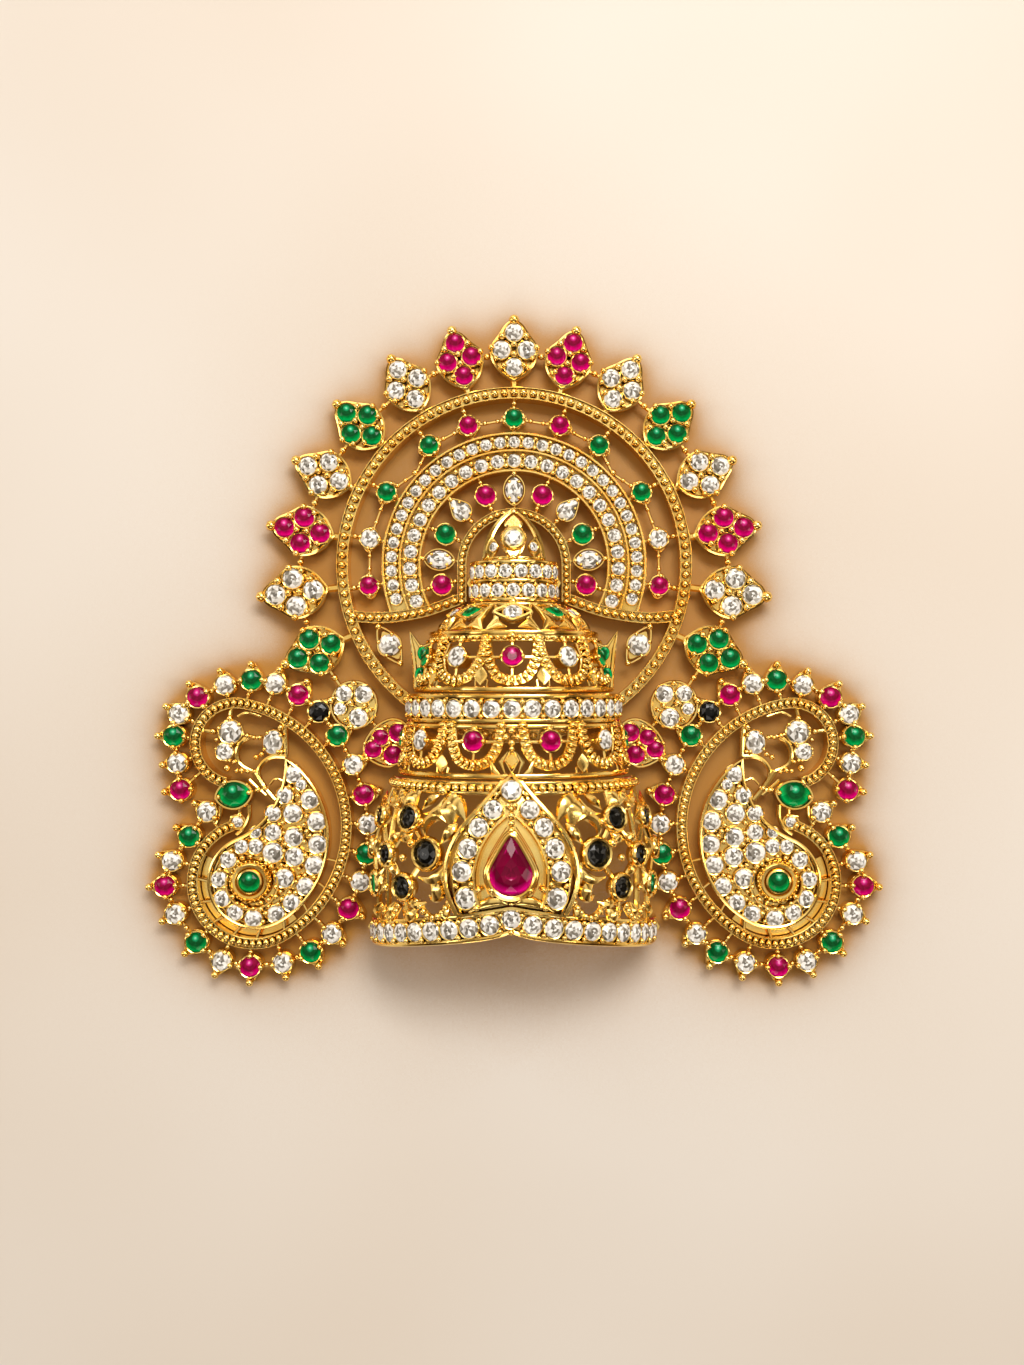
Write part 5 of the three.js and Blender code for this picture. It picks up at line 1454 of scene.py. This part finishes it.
for x, y, radius in crest["beads"]:
    ball(frameBench, (x, y, crest["beadHeight"]), radius)
for thick, run in crest["runs"]:
    wire(frameBench, flatPath(smoothRun(run, 5), crest["runHeight"]), thick, 8, taper=crest["runTaper"])
leafX, leafY, leafZ = crest["leafStone"]
mount(frameBench, "wing_crest", "white", at(crest["leafStone"], crest["leafSize"]), "thin")
wide, tall = crest["leafRing"]
ring = [(leafX + x * wide, leafY + y * tall) for x, y in roundOutline()]
wire(frameBench, flatPath(ring, leafZ - 0.3), 0.28, closed=True)

marquiseBench = benches["wing_marquise"]
marquisePlace = at(crest["marquise"], crest["marquiseStone"], crest["marquiseTurn"])
setStone("wing_marquise", "emerald", marquisePlace @ Matrix.Diagonal((0.97, 1.06, 1, 1)), "marquise")
plate(marquiseBench, crest["marquiseRim"], -1.5, -0.1, 0.08, marquisePlace)
wire(marquiseBench, rimPath(marquisePlace, crest["marquiseRim"], z=0.02), 0.26, closed=True)
claws(marquiseBench, marquisePlace, (0, 180), 0.22, 1.25)
finishGold("wing_frame", "wing_frame", pair=True)
finishStones("wing_crest", pair=True)
finishGold("wing_marquise", "wing_marquise", pair=True)
finishStones("wing_marquise", pair=True)
print("wings made")

# The floor is pale cloth; beside and under the gold it is darkened brown by painted shade and a painted warm
# reflection of the gold.
floorLook = {
    "size": 1.3, "pale": (0.68, 0.635, 0.585), "warm": (0.63, 0.56, 0.485),
    "under": (0.37, 0.175, 0.022, 1), "patchScale": 7, "reach": 0.034, "samples": 8, "roughness": 0.6,
    "paintedShadeFade": [(0.6, (1, 1, 1)), (0.84, (0.5, 0.5, 0.5)), (0.985, (0, 0, 0))],
}
floorBench = bmesh.new()
bmesh.ops.create_grid(floorBench, x_segments=1, y_segments=1, size=floorLook["size"])
floor = bpy.data.objects.new("floor", keepShape(floorBench, "floor", smooth=False))
bpy.context.collection.objects.link(floor)
cloth, tree, shader = newMaterial("pale_cloth_floor")
tint = ramp(tree, noise(tree, floorLook["patchScale"], 2),
            [(0.35, floorLook["warm"]), (0.65, floorLook["pale"])])
# The painted shade and painted gold reflection are strongest where ambient occlusion finds the gold near.
paintedShadeShare = ramp(tree, nearness(tree, floorLook["reach"], floorLook["samples"]), floorLook["paintedShadeFade"])
feed(tree, shader, {"Base Color": mix(tree, tint, floorLook["under"], paintedShadeShare),
                    "Roughness": floorLook["roughness"]})
floor.data.materials.append(cloth)

# The room is pale behind the halo and dark in front, so every bead has a lit side and a shaded one.
room = {
    "strength": 1.0,
    "frontToBack": [(0.0, (0.10, 0.07, 0.05)), (0.42, (0.35, 0.3, 0.25)), (0.75, (1, 1, 1))],
    "sky": [(0.0, (0.95, 0.78, 0.55)), (0.2, (0.50, 0.34, 0.18)), (0.36, (0.06, 0.03, 0.01)),
            (0.47, (0.14, 0.08, 0.03)), (0.55, (1.25, 1.1, 0.88)), (0.64, (1.1, 0.95, 0.75)),
            (0.8, (0.38, 0.30, 0.21)), (1.0, (0.44, 0.36, 0.26))],
}
world = bpy.data.worlds.new("studio")
bpy.context.scene.world = world
world.use_nodes = True
tree = world.node_tree
direction = addNode(tree, "TexCoord", {}).outputs["Generated"]
split = addNode(tree, "SeparateXYZ", {"Vector": direction})
depth = addNode(tree, "MapRange", {"From Min": -1, "Value": split.outputs["Y"]})
depthTone = ramp(tree, depth.outputs["Result"], room["frontToBack"])
sky = ramp(tree, split.outputs["Z"], room["sky"])
feed(tree, tree.nodes["Background"], {"Color": mix(tree, sky, depthTone, 1, "MULTIPLY"),
                                      "Strength": room["strength"]})
